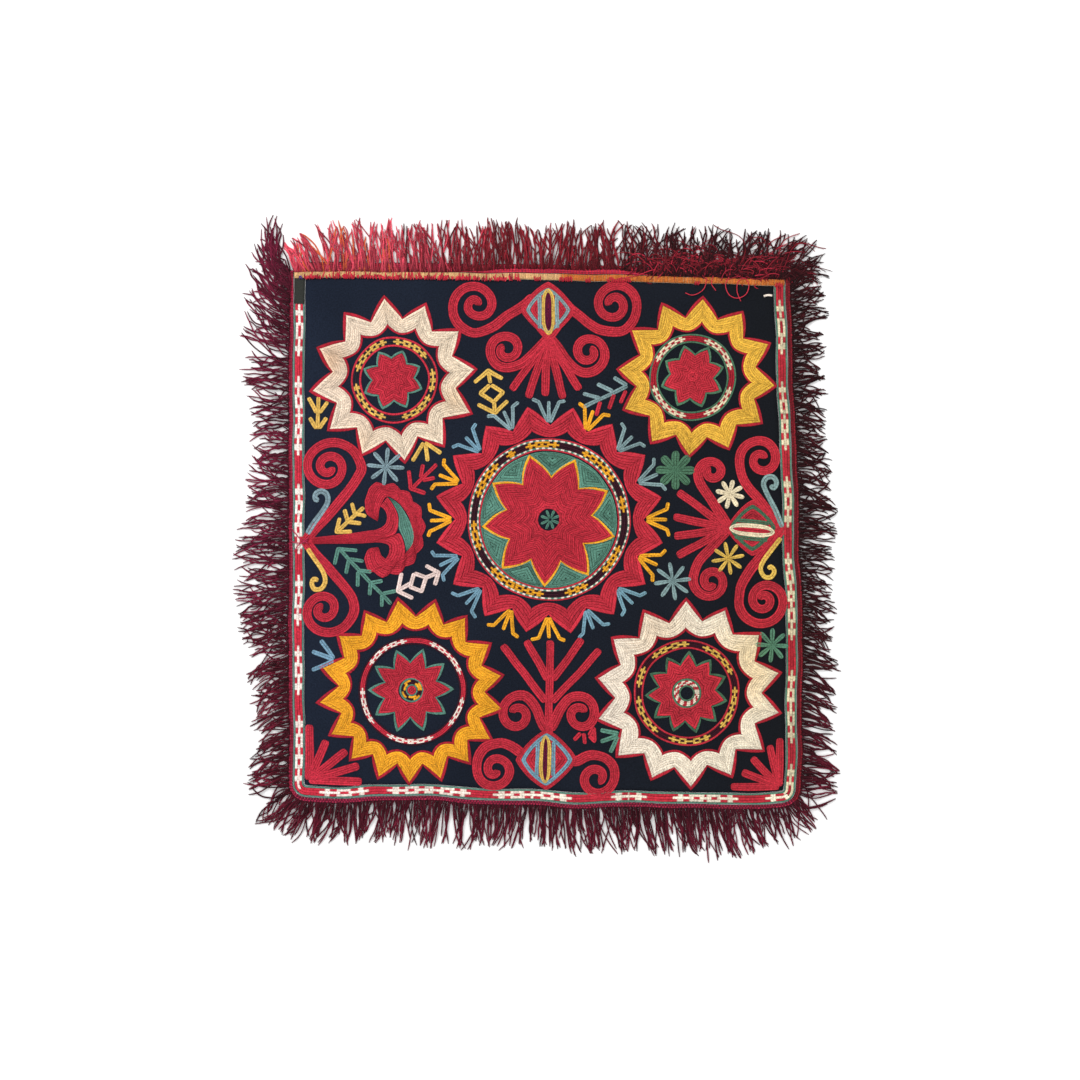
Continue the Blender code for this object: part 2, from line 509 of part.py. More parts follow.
def long_figures(sides):
    """Figures and their open ridge lines: scrolls, fans, the tree and the horned figure."""
    figures = []
    ridges = []
    for stem, middle, first_angle, sense, radii in SCROLLS:
        line = np.vstack([smooth(stem, 14.0), spiral(middle, first_angle, sense, radii)])
        wide = np.linspace(1.0, CURL_SHARE, len(line))[:, None]
        side = normals(line) * STITCH_HALF * wide
        figures.append((kept(np.vstack([line + side, (line - side)[::-1]]), sides), None))
        ridges.append(line[1:-1])
    for root, wide, tips in FANS:
        fan_outline, middle_lines = fan(root, wide, tips)
        figures.append((kept(fan_outline, sides), None))
        ridges.extend(middle_lines)
    for ends in (TRUNK, *BRANCHES):
        line = smooth(ends, 30.0)
        figures.append((ribbon(line, TREE_WIDE / 2), None))
        ridges.append(line[1:-1])
    figures.append((horn_outline(), None))
    return figures, ridges


def sprig_strokes():
    """Middle lines of the sprigs' three fingers, round the middle ring."""
    strokes = []
    for k in range(SPRIGS):
        angle = math.radians(SPRIG_FIRST - k * 360.0 / SPRIGS)
        out = np.array([math.cos(angle), -math.sin(angle)])
        side = np.array([math.sin(angle), math.cos(angle)])
        foot_point = np.array(SPRIG_MIDDLE) + out * SPRIG_FOOT
        for spread in SPRIG_SPREAD:
            strokes.append((foot_point + out * 1.5 + side * spread * 0.18,
                            foot_point + out * SPRIG_LONG + side * spread))
    return strokes


def small_figures(sides):
    """Figures and their open ridge lines: twigs, sprigs and small stars."""
    figures = []
    ridges = []
    for points in (*TWIGS, *sprig_strokes()):
        line = np.array(points, float)
        figures.append((kept(ribbon(line, TWIG_WIDE / 2), sides), None))
        inner = line.copy()
        for end, after in ((0, 1), (-1, -2)):
            way = inner[after] - inner[end]
            inner[end] = inner[end] + way * min(0.4, 1.3 / math.hypot(*way))
        ridges.append(kept(inner, sides))
    for x, y, rays, reach, first_angle, half_ray in SMALL_STARS:
        hub = half_ray / math.sin(math.pi / rays) * 1.02
        figures.append((kept(toothed(x, y, rays, reach, hub, first_angle), sides), None))
        ridges.append(np.array([(x, y)]))
        for angle in np.radians(first_angle + 360.0 / rays * np.arange(rays)):
            spot = np.array([[x + 0.62 * reach * math.cos(angle), y - 0.62 * reach * math.sin(angle)]])
            ridges.append(kept(spot, sides))
    return figures, ridges


def plain_points(region, pitch):
    """Points of a square grid over a region."""
    left, right, top, foot = region
    gx, gy = np.meshgrid(np.arange(left, right, pitch), np.arange(top, foot, pitch))
    return np.stack([gx.ravel(), gy.ravel()], axis=1)


def triangles(points, edges, outline, merge):
    """Triangles between the points that keep the edges, inside the outline, each turned the
    same way round. Points nearer than merge become one."""
    found, _, tris, *_ = delaunay_2d_cdt([Vector(p) for p in points.tolist()], edges, [], 0, merge)
    place = np.array([(p[0], p[1]) for p in found])
    tris = np.array(tris)
    tris = tris[inside(place[tris].mean(axis=1), outline)]
    used, tris = np.unique(tris, return_inverse=True)
    place = place[used]
    tris = tris.reshape(-1, 3)
    a, b, c = (place[tris[:, i]] for i in range(3))
    turned = turn(b - a, c - a) < 0
    tris[turned] = tris[turned][:, ::-1]
    return place, tris


def upper_face(outline, figures, closed_lines, open_lines):
    """Places and triangles of the upper face, with an edge along every outline and ridge."""
    points = []
    edges = []
    count = 0
    rows = [(outline, True)]
    rows += [(line, True) for pair in figures for line in pair if line is not None]
    rows += [(line, True) for line in closed_lines]
    rows += [(line, False) for line in open_lines if len(line)]
    for line, ring in rows:
        points.append(line)
        edges.extend((count + i, count + i + 1) for i in range(len(line) - 1))
        if ring:
            edges.append((count + len(line) - 1, count))
        count += len(line)
    taken = np.vstack(points)
    fill = plain_points(FILL_REGION, FILL_PITCH)
    near = np.min(np.hypot(*(fill[:, None] - taken[None]).transpose(2, 0, 1)), axis=1)
    return triangles(np.vstack([taken, fill[near > FILL_CLEAR]]), edges, outline, 0.25)


def relief(place, figures):
    """Height of the upper face: it climbs RELIEF over a width of RAMP inside a figure's
    outlines, and swells a little everywhere."""
    rise = np.zeros(len(place))
    for outer, inner in figures:
        within = inside(place, outer)
        depth = edge_distance(place, outer)
        if inner is not None:
            within &= ~inside(place, inner)
            depth = np.minimum(depth, edge_distance(place, inner))
        rise = np.maximum(rise, np.where(within, np.clip(depth / RAMP, 0, 1), 0))
    x, y = place.T
    uneven = SWELL * (np.sin(x / 47.0 + 0.6) * np.cos(y / 61.0) + 0.5 * np.sin(x / 23.0 - y / 31.0))
    return CLOTH_THICK + RELIEF * rise + uneven


def rim(tris):
    """Points on the outer edge of a face, in order: edges that only one triangle has."""
    links = {}
    for tri in tris.tolist():
        for i in range(3):
            links[(tri[i], tri[(i + 1) % 3])] = True
    after = {p: q for p, q in links if (q, p) not in links}
    loop = [next(iter(after))]
    while after[loop[-1]] != loop[0]:
        loop.append(after[loop[-1]])
    return loop


def ground_cloth(seam, seam_out):
    """The ground cloth: a flat underside, upright edges, and an upper face whose points rise
    inside the figures' outlines by a sloping edge and lie a little uneven elsewhere."""
    outline, sides = cloth_sides(seam, seam_out)
    figures, closed_lines = round_figures(sides)
    open_lines = []
    for more, lines in (long_figures(sides), small_figures(sides)):
        figures += more
        open_lines += lines
    place, tris = upper_face(outline, figures, closed_lines, open_lines)
    high = relief(place, figures)

    loop = rim(tris)
    rim_place = place[loop]
    below = np.vstack([rim_place, plain_points(UNDER_REGION, UNDER_PITCH)])
    rim_edges = [(i, (i + 1) % len(loop)) for i in range(len(loop))]
    under, under_tris = triangles(below, rim_edges, rim_place, 1e-4)
    body = np.vstack([np.column_stack([place, high]), np.column_stack([under, np.zeros(len(under))])])
    top_count = len(place)
    faces = [tuple(t) for t in tris.tolist()]
    faces += [tuple(t) for t in (under_tris[:, ::-1] + top_count).tolist()]
    for i in range(len(loop)):
        j = (i + 1) % len(loop)
        faces.append((loop[j], loop[i], top_count + i, top_count + j))
    return mesh_object("ground_cloth", body, faces, (0.028, 0.034, 0.055), 0.92)


def border(name, line, outward, colour):
    """A border strip along a part of the seam."""
    rings = [section(point, way, HALF_GAP, HALF_GAP + BORDER_WIDE, BORDER_SHAPE)
             for point, way in zip(line, outward)]
    verts, faces = strip(rings)
    return mesh_object(name, verts, faces, colour, 0.85)


def stretch(line, outward, first, last, back_first, back_last):
    """The stations from first to last, the end ones moved back along the line by the given
    lengths so that pieces that share a station stay apart."""
    line = line[first:last + 1].copy()
    outward = outward[first:last + 1]
    for end, back in ((0, back_first), (-1, -back_last)):
        along = np.array([outward[end, 1], -outward[end, 0]])
        inward = line[1] - line[0] if end == 0 else line[-1] - line[-2]
        along *= math.copysign(1.0, along @ inward)
        line[end] += along * back
    return line, outward


def lock_stations(length, random):
    """Stations along a heading: two for each lock, and one at either end."""
    locks = int(round(length / LOCK_PITCH))
    edges = np.linspace(0, length, locks + 1)
    moved = random.uniform(-LOCK_UNEVEN, LOCK_UNEVEN, locks + 1) * LOCK_PITCH
    edges[1:-1] += moved[1:-1]
    margin = np.diff(edges) * (1 - LOCK_SHARE) / 2
    pairs = np.stack([edges[:-1] + margin, edges[1:] - margin], axis=1)
    return locks, np.concatenate([[0.0], pairs.ravel(), [length]])


def fringe(name, line, outward, near, wide, lengths, leans, seed, colour):
    """A fringe: a heading strip whose outer wall is drawn out into tapering locks.

    lengths and leans are (share along, value) rows; a lean is in degrees towards the end of
    the line. Each lock has three rings of four points, all with two of them on the floor.
    """
    random = np.random.default_rng(seed)
    along = np.concatenate([[0.0], np.cumsum(np.hypot(*np.diff(line, axis=0).T))])
    outer_line = line + outward * (near + wide)
    outer_along = np.concatenate([[0.0], np.cumsum(np.hypot(*np.diff(outer_line, axis=0).T))])
    full = outer_along[-1]
    locks, stations = lock_stations(full, random)

    def at(place):
        """The seam's point and its unit outward normal at a length along the outer wall."""
        share = np.interp(place, outer_along, along)
        point = np.array([np.interp(share, along, line[:, 0]), np.interp(share, along, line[:, 1])])
        way = np.array([np.interp(share, along, outward[:, 0]), np.interp(share, along, outward[:, 1])])
        return point, way / np.hypot(*way)

    verts, faces = strip([section(*at(place), near, near + wide, HEADING_SHAPE) for place in stations])
    verts = verts.tolist()
    around = len(HEADING_SHAPE)
    first_corners = [(1 + 2 * i) * around for i in range(locks)]
    roots = [(a + around - 1, a, a + around, a + 2 * around - 1) for a in first_corners]
    faces = [face for face in faces if face not in roots]
    for i, ring in enumerate(roots):
        start, stop = stations[1 + 2 * i], stations[2 + 2 * i]
        middle = (start + stop) / 2
        root_half = (stop - start) / 2
        point, way = at(middle)
        root = point + way * (near + wide)
        run = np.array([way[1], -way[0]])
        begin, finish = np.array(verts[ring[1]][:2]), np.array(verts[ring[2]][:2])
        if (finish - begin) @ run < 0:
            run = -run
        length = np.interp(middle / full, *zip(*lengths)) * random.uniform(0.9, 1.06)
        lean = math.radians(np.interp(middle / full, *zip(*leans)) + random.uniform(-3.0, 3.0))
        curl = random.uniform(-0.05, 0.05)
        for t, half_wide, high in ((0.5, root_half * LOCK_WAIST, LOCK_HIGH * 0.9),
                                   (1.0, LOCK_TIP_HALF, LOCK_TIP_HIGH)):
            bend = lean + curl * t
            forward = way * math.cos(bend) + run * math.sin(bend)
            sideways = run * math.cos(bend) - way * math.sin(bend)
            centre = root + forward * length * t
            low = centre - sideways * half_wide
            far = centre + sideways * half_wide
            n = len(verts)
            verts.extend([[*low, high], [*low, 0.0], [*far, 0.0], [*far, high]])
            new = (n, n + 1, n + 2, n + 3)
            for j in range(4):
                k = (j + 1) % 4
                faces.append((ring[j], ring[k], new[k], new[j]))
            ring = new
        faces.append(ring)
    return mesh_object(name, verts, faces, colour, 0.95)


for old in list(bpy.data.objects):
    bpy.data.objects.remove(old, do_unlink=True)

seam, seam_out, left_end, foot_end = seam_line()
ground_cloth(seam, seam_out)

top_low = smooth(TOP_SEAM, TOP_STATION)
top_out = np.column_stack([np.zeros(len(top_low)), -np.ones(len(top_low))])

# The borders start just below the binding, so their end stations are set on its lower edge.
left_part = int(np.argmax(seam[:, 1] > TOP_SEAM[0][1] + 3.0))
right_part = len(seam) - 1 - int(np.argmax(seam[::-1, 1] > TOP_SEAM[-1][1] + 3.0))
sides = seam.copy()
sides[left_part - 1] = (sides[left_part, 0], TOP_SEAM[0][1] + PART_GAP)
sides[right_part + 1] = (sides[right_part, 0], TOP_SEAM[-1][1] + PART_GAP)
side_out = seam_out.copy()
side_out[left_part - 1] = (-1.0, 0.0)
side_out[right_part + 1] = (1.0, 0.0)
border_colour = (0.42, 0.06, 0.07)
for name, first, last, back_first, back_last in (
        ("border_left", left_part - 1, left_end, 0.0, HALF_GAP),
        ("border_bottom", left_end, foot_end, HALF_GAP, HALF_GAP),
        ("border_right", foot_end, right_part + 1, HALF_GAP, 0.0)):
    border(name, *stretch(sides, side_out, first, last, back_first, back_last), border_colour)

binding_rings = [section(point, way, HALF_GAP, HALF_GAP + BINDING_WIDE, BINDING_SHAPE)
                 for point, way in zip(top_low, top_out)]
mesh_object("top_binding", *strip(binding_rings), (0.75, 0.32, 0.09), 0.8)

beyond = HALF_GAP + BORDER_WIDE + PART_GAP
last_station = len(seam) - 1
for name, first, last, back_first, back_last, lengths, leans, seed in (
        ("fringe_left", 0, left_end, 0.0, HALF_GAP, LEFT_LONG, LEFT_LEAN, 3),
        ("fringe_bottom", left_end, foot_end, HALF_GAP, HALF_GAP, FOOT_LONG, FOOT_LEAN, 5),
        ("fringe_right", foot_end, last_station, HALF_GAP, 0.0, RIGHT_LONG, RIGHT_LEAN, 7)):
    line, outward = stretch(seam, seam_out, first, last, back_first, back_last)
    fringe(name, line, outward, beyond, HEADING_WIDE, lengths, leans, seed, (0.16, 0.02, 0.04))
fringe("fringe_top", top_low, top_out, HALF_GAP + BINDING_WIDE + PART_GAP, TOP_HEADING_WIDE,
       TOP_LONG, TOP_LEAN, 11, (0.36, 0.05, 0.08))
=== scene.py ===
# %% [markdown]
# # A panel in chain stitch, with a fringe on all four sides
# The real piece is a dark wool cloth, about half a metre across, covered with big pointed rings,
# stars and scrolls. Nearly all of it is chain stitch: a hooked needle draws loops of yarn
# through the cloth, one out of the other, in rows that lie side by side until a shape is full.
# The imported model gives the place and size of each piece, so the first cell only loads it.
# Sizes below are in millimetres on a working drawing whose y runs down, as on a sheet of
# pattern paper, and one function turns them into the model's metres.

# %% Load the frame
import math

import bmesh
import bpy
import numpy as np
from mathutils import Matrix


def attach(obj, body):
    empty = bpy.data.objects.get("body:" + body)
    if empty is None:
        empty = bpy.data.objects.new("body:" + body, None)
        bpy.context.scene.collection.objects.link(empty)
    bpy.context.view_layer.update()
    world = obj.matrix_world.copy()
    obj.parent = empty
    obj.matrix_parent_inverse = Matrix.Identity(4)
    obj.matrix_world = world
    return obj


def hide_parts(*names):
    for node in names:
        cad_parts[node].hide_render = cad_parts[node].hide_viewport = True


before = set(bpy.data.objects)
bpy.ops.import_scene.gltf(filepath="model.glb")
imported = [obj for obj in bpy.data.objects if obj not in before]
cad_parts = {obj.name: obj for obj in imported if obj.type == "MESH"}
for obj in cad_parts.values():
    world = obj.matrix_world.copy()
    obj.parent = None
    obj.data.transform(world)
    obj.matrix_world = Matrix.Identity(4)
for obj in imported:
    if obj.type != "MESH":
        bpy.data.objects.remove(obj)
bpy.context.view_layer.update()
MM = 0.001
MIDDLE = (535.0, 537.0)     # the drawing's point that lies on the model's origin
random = np.random.default_rng(21)
print("nodes:", ", ".join(sorted(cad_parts)))

# %% [markdown]
# ## Working drawing
# A maker chalks the figures on the cloth before sewing. The tables here are that chalk drawing:
# one row for each figure, with named columns. Every curve between the given points comes from
# a formula further down, so a figure can be made wider or rounder by changing a single number.

# %% Seams of the cloth
LEFT_SEAM = ((305.6, 270), (305.6, 300), (304.9, 340), (304.4, 440), (304.6, 560),
             (304, 650), (305, 720), (304.6, 782))
FOOT_SEAM = ((307.6, 785), (340, 787.4), (375, 784.4), (430, 784.4), (480, 788),
             (540, 789.6), (580, 792.4), (620, 790.8), (690, 792), (740, 793.2),
             (781, 791.2))
RIGHT_SEAM = ((784.2, 788.6), (785.4, 760), (785.2, 700), (786, 640), (785.4, 600),
              (782.6, 560), (781.8, 500), (779.4, 440), (776.8, 390), (775.6, 340),
              (773.8, 290), (773.4, 276))
TOP_SEAM = ((294.8, 278), (370, 278), (450, 279.2), (550, 280.4), (640, 282.2),
            (700, 283.8), (784.4, 286.2))
CORNER_RADIUS = 2.6
PART_GAP = 0.4              # gap between pieces that are sewn together
BORDER_WIDE = 11.2
BINDING_WIDE = 6.2
HEADING_WIDE = 8.0
TOP_HEADING_WIDE = 12.5
CLOTH_HIGH = 1.5            # upper face of the cloth above the surface it lies on
YARN_HIGH = 0.95            # how far a row of stitches stands above the cloth
STITCH = 3.7                # length of one chain stitch

# %% [markdown]
# ## Rings and stars on the drawing
# Five pointed rings are what the eye reads first. Each is a circle whose edge swings in and out,
# so one row of a table describes it: its middle, how many points it has, the radii that its
# outer and inner edges swing between, and how many rows of stitches fill it.

# %% Figures of the drawing
# Pointed rings: radii of the points, of the valleys, of the inner cusps and arcs.
RINGS = {
    # name: x, y, points, tip, valley, cusp, arc, first angle, crowd, rows
    "top_left": (394.4, 379.8, 12, 85, 63.5, 53, 45.6, 97, 0, 9),
    "top_right": (696.5, 377.2, 12, 82, 62.8, 53, 45.8, 84.5, 0, 9),
    "bottom_left": (411.5, 691, 17, 95.5, 75.5, 65, 59.5, 94.5, 7.5, 8),
    "bottom_right": (688, 694, 14, 96, 75.8, 63.6, 57, 91, 2, 9),
    "middle": (549.5, 520, 16, 115, 94.8, 90.6, 82.8, 101.2, 0, 6),
}
# Stars inside them: points, tip and valley radius, first angle, rows, and the hub's radius.
STARS = {
    "top_left": (392.8, 379.4, 8, 31.5, 22, 72, 10, 0.3),
    "top_right": (692.8, 376.2, 8, 33, 23, 62, 10, 0.3),
    "bottom_left": (410.5, 690, 10, 43, 28, 73, 8, 12),
    "bottom_right": (686.5, 692.6, 11, 42, 30, 87, 7, 14.8),
    "middle": (548.6, 520, 9, 67.6, 44, 106, 16, 10.6),
}
print(len(RINGS), "pointed rings,", len(STARS), "stars")

# %% [markdown]
# ## Stems on the drawing
# Scrolls, fans and the tree are drawn as the middle lines of their stems. A scroll sets off as a
# gentle curve and winds up into a spiral, so its row gives a few points and after them only a
# radius for each quarter turn. The horned figure is no stem: its parts lie between two lines.

# %% Scrolls, fingers and the horned figure
# Scrolls: the stem's points, then the spiral's middle, its first angle, its turning sense (1 is
# counterclockwise) and its radius at each further quarter turn.
SCROLLS = (
    (((534, 297), (527, 303.5), (520, 308), (507, 316), (493, 326.5)),
     (475, 305.5), 270, -1,
     (28, 21.5, 19, 17.6, 9.6, 6.2, 6, 3.6)),
    (((564, 301), (571, 309), (580, 316), (591, 324.5), (602, 330)),
     (614, 304), 285, 1,
     (28.4, 21.5, 17.6, 15, 13, 8.4, 6.6, 5)),
    (((560, 322.5), (554, 330), (546.5, 339.5), (537, 350), (529, 357.5),
      (521, 363.6)), (505, 350), 285, -1,
     (18, 15, 14, 14, 7.4, 5, 4)),
    (((537, 322.5), (543, 330), (550.5, 339.5), (558.5, 349), (565, 358.5),
      (573, 367)), (588, 353), 255, 1,
     (19.8, 17, 14.6, 11.4, 7.4, 6, 4.4)),
    (((304.5, 543), (309, 536.5), (316, 528), (328, 515), (347, 493),
      (358, 478)), (328, 467), 0, 1,
     (34, 22.6, 20, 17.6, 14.6, 10, 7, 6, 4)),
    (((304.5, 539), (309, 545.5), (316.5, 554.5), (328, 567), (343, 585.5),
      (352.5, 599)), (323, 610), 355, -1,
     (31, 21.4, 14.4, 14, 11.2, 7.2, 4.8, 3.6)),
    (((783, 530.5), (773.5, 519), (765, 507.5), (757.5, 498), (749, 489),
      (742.5, 477)), (761, 459), 190, -1,
     (21.6, 19, 15, 12, 7.2, 5.4, 4.2)),
    (((783, 527), (774.5, 538.5), (766.5, 549), (760, 558), (750, 570),
      (741.5, 584)), (763, 600), 165, 1,
     (24.6, 24, 20.6, 15.6, 10.4, 9, 7, 5.4, 4)),
    (((733, 533), (727, 524.5), (721, 515.5), (711, 500), (701.5, 485.5)),
     (712, 471), 195, -1,
     (14.4, 8.6, 9.4, 8, 5, 3.4)),
    (((733, 523), (727, 531), (721, 537.5), (711, 548), (699, 561.5)),
     (710, 582), 160, 1,
     (17.6, 14.6, 13, 11, 6.6, 5, 3.6)),
    (((522, 753.5), (514, 747.5), (506, 743.6)), (494, 769), 80, 1,
     (26.8, 17, 16.4, 16.4, 10.6, 6, 5.2, 4)),
    (((571, 762), (578.5, 760), (585, 756.6)), (597, 777), 100, -1,
     (22.6, 17.6, 16, 13, 8.2, 5.4, 4.2)),
    (((546, 730), (541, 720), (536, 708), (528, 697.5)), (516.5, 713), 80, 1,
     (18.2, 12.6, 14, 10, 5.6, 3.8)),
    (((550, 730), (555.5, 720), (561, 709), (569, 699)), (581, 713), 100, -1,
     (17, 13.6, 14, 10.2, 5.4, 3.8)),
)
SCROLL_WIDE = 10.2
# Fans of fingers: root, finger width, finger tips from one side to the other.
FANS = (
    ((548, 339.5), 8,
     ((511.5, 390), (528, 398.5), (545, 396.5), (563.5, 398.5), (580, 390))),
    ((727, 528), 8, ((677.5, 556), (674, 536.5), (673, 516.5), (678, 491.5))),
    ((309.5, 779.5), 8.4,
     ((309.5, 724.5), (326, 740), (346.5, 750.5), (359, 766), (362, 782))),
    ((779.5, 786), 7.6,
     ((731, 787), (742, 772), (751.5, 758), (769, 745), (779.5, 738))),
)
TREE_WIDE = 7.8
TREE = (
    ((549, 734), (550, 640)),
    ((546, 702), (502, 645)),
    ((548, 680), (526, 641)),
    ((552, 680), (582.5, 638.5)),
    ((552, 702), (600, 649.5)),
)
# Horned figure, each part between two lines: the lobed back, the stalk's two halves, the crescent.
HORN_MIDDLE = (384.0, 529.5)
HORN_REACH = (40.0, 46.0)
HORN_LOBES = 9
HORN_TIPS = (((377, 521.5), (366.5, 514), (365, 501)),
             ((364.5, 559), (369, 549.5), (378.5, 547.5)))
HORN_INSIDE = ((378, 519), (379, 510.5), (382.5, 502.5), (388, 496.5), (399.5, 503.5),
               (407.5, 515), (411, 526), (413.5, 540), (408, 550), (400, 558.5),
               (390, 560.5), (382, 556), (379.5, 550))
CRESCENT = (((387, 496), (400, 505), (408, 518), (413.5, 532), (413, 543),
             (407, 551.5)),
            ((387, 496), (392.5, 503), (398.5, 515), (398.5, 528), (404, 540),
             (407, 551.5)))
STALK = ((((387.5, 497), (392.5, 504), (397.8, 515), (397.5, 528), (392, 535.5),
           (372, 538), (304.5, 541.2)),
          ((380, 506.5), (384.5, 510.5), (386.8, 517), (385, 524.5), (377.5, 529.5),
           (366, 531.5), (304.5, 538.4))),
         (((402.5, 560.5), (405.5, 552), (404.5, 543.5), (399.5, 533.5), (393.5, 535),
           (386, 537), (372, 538), (304.5, 541.2)),
          ((384, 561.5), (388, 556), (389.5, 551), (388.5, 545.5), (383, 543.5),
           (376, 543), (364, 543.5), (304.5, 543.8))))

# %% [markdown]
# ## Small figures on the drawing
# Diamonds, sprigs and small stars repeat one shape in other sizes, so they are rows of numbers.
# Twigs, hooks and lozenges are all different, and are drawn as strokes of a few points each.

# %% Diamonds, sprigs, small stars and twigs
# Diamonds: middle, reach left, right, up and down of the red edge and then of the coloured
# outline, the almond's middle, half length and half width, its core's, and its angle.
DIAMONDS = (
    # x, y, edge, outline, almond, core, angle, outline's dye, almond's dye, core's dye
    (548.5, 310, (28, 27.5, 28, 27.5), (22.4, 22, 22, 23.5), (548.4, 312, 23.4, 6.8),
     (19, 3.4), 90, "grey_blue", "straw", "plum"),
    (752.5, 528, (26, 31, 28.2, 28.5), (23.4, 23.4, 23, 23.4), (752.2, 530.4, 23, 6.5),
     (19.2, 2.2), -5.6, "leaf_green", "cream", "red"),
    (546.2, 759.5, (30.8, 30.5, 30.5, 30.5), (25.2, 25.8, 26.5, 26.2), (545.2, 759.2, 24.2, 6.1),
     (21.2, 2.2), 90, "sky_blue", "straw", "plum"),
)
SPRIG_FOOT = 97.5
SPRIG_WIDE = 3.7
SPRIG_DYES = ("grey_blue", "gold", "grey_blue", "grey_blue", "gold", "gold", "sky_blue",
              "sky_blue", "gold", "gold", "sky_blue", "sky_blue", "gold", "gold", "sky_blue",
              "grey_blue")
# Small stars: middle, rays, reach, first ray's angle, width of a ray, dye.
SMALL_STARS = (
    (386, 466.5, 8, 19, 85, 4.4, "grey_blue"),
    (675.5, 470, 8, 19.5, 90, 8.4, "leaf_green"),
    (729.5, 494.5, 8, 14.5, 76, 4.7, "cream"),
    (728, 558.5, 8, 16.5, 99, 3.9, "straw"),
    (672.5, 581, 8, 19, 98, 4.4, "grey_blue"),
    (771.5, 645, 8, 17, 85, 4.8, "sea_green"),
)
TWIG_WIDE = 4.1
# Twigs, prongs, hooks and lozenges: a dye, a width, then each stroke's points.
TWIGS = (
    ("straw", TWIG_WIDE, (
        ((318.5, 396.5), (317.5, 429.5)), ((308.5, 397), (316.5, 413)),
        ((328, 402), (319.5, 413)), ((309.5, 417.5), (316.5, 429)),
        ((326.5, 417.5), (319, 429)))),
    ("straw", TWIG_WIDE, (
        ((423.5, 443), (412.5, 461.5)), ((425.5, 445), (427.5, 461.5)),
        ((425, 443), (441, 454)))),
    ("red", TWIG_WIDE, (
        ((437, 464.5), (413.5, 487.5)), ((423, 464.5), (421, 478)), ((435.5, 478), (423, 480.5)),
        ((409, 470.5), (411, 488), (426, 493.5)))),
    ("straw", TWIG_WIDE, (
        ((474.5, 383), (488.5, 370.5), (503, 378.5)), ((489, 373), (491, 383)),
        ((491.5, 384.5), (503, 392), (493.5, 402), (481, 393.5), (490.5, 384.5)),
        ((477.5, 404), (495, 413), (508, 400.5)), ((494, 402), (494.5, 411)))),
    ("shell", TWIG_WIDE, (
        ((402, 572.5), (397.5, 590.5), (413, 598)), ((399.5, 589), (411, 583)),
        ((414.5, 573), (426.5, 577.5), (421.5, 591.5), (410.5, 586.5), (414.5, 573)),
        ((426, 565), (439, 572.5), (434.5, 585.5)), ((424.5, 578.5), (436, 573.5)))),
    ("grey_blue", 5.4, (
        ((307.5, 534), (313.5, 524), (322, 511.5), (327.5, 502), (326.8, 494.5), (321, 491),
         (315.5, 493.5), (315, 498.5), (319, 500)),)),
    ("straw", 4.8, (
        ((308, 548), (315, 558.5), (322.5, 571), (325.2, 581), (321.5, 588.5), (314.5, 589),
         (311.5, 583.5), (313.5, 579), (318, 580.5)),)),
    ("straw", TWIG_WIDE, (
        ((338.5, 530), (364, 507.5)), ((339.5, 517.5), (337, 531.5), (352, 531.5)),
        ((344, 509.5), (348, 521.5)), ((348.5, 522), (361, 524)), ((351.5, 503), (355, 514.5)),
        ((355, 514), (366, 516.5)))),
    ("sea_green", TWIG_WIDE, (
        ((340, 549), (362, 574), (391, 604)), ((334.5, 564.5), (338.5, 549), (358, 550.5)),
        ((346, 574), (349.5, 560)), ((350, 559.5), (364, 561.5)), ((357.5, 587), (358, 572)),
        ((359, 571), (372, 572)), ((369.5, 595.5), (371, 583)), ((371, 583.5), (383, 580.5)),
        ((381.5, 606.5), (381.5, 595)), ((382.5, 593.5), (396, 590.5)))),
    ("sky_blue", 4.4, (
        ((334, 659), (321, 640.5)), ((333, 659.5), (312, 651)), ((334, 660.5), (311.5, 670)))),
    ("grey_blue", TWIG_WIDE, (
        ((583.5, 407), (627.5, 386.5)), ((583, 393.5), (600.5, 398)),
        ((597, 383.5), (613.5, 391.5)), ((613.5, 377.5), (627, 386)))),
    ("red", TWIG_WIDE, (
        ((596, 416), (601, 401.5)), ((609, 409.5), (614.5, 394)), ((620.5, 403.5), (626, 391)))),
    ("grey_blue", 5.2, (
        ((782.5, 527), (774, 508), (765.5, 491), (763, 483.5), (766.5, 477.5), (773, 477),
         (776.5, 482.5), (773.5, 488), (770, 485)),)),
    ("straw", 4.6, (
        ((781, 538), (772, 549), (763.5, 560.5), (760, 569), (763.5, 576.5), (770.5, 577),
         (774, 571), (770.5, 566.5), (767.5, 569)),)),
    ("sea_green", 4.6, (
        ((619, 733.5), (600.5, 729.5)), ((618.5, 735.5), (600.5, 741)),
        ((618.5, 736), (610, 752)))),
    ("red", TWIG_WIDE, (
        ((581, 733), (574, 740.5)), ((584, 733), (584.5, 744)),
        ((589, 735.5), (594, 727), (594.5, 741), (589, 735.5)))),
)
print(len(SCROLLS), "scrolls,", len(TWIGS), "twigs,", len(SMALL_STARS), "small stars")

# %% [markdown]
# ## Dyes
# The yarns are silk and cotton in a few dye lots. A dye is written as it looks by daylight, from
# 0 to 255 for red, green and blue, and turned into the linear numbers that a shader works with.
# The colour goes into the mesh as an attribute, one value a point, so that a single row can
# change yarn halfway, as the border's chequered rows do, and no two rows come out quite alike.

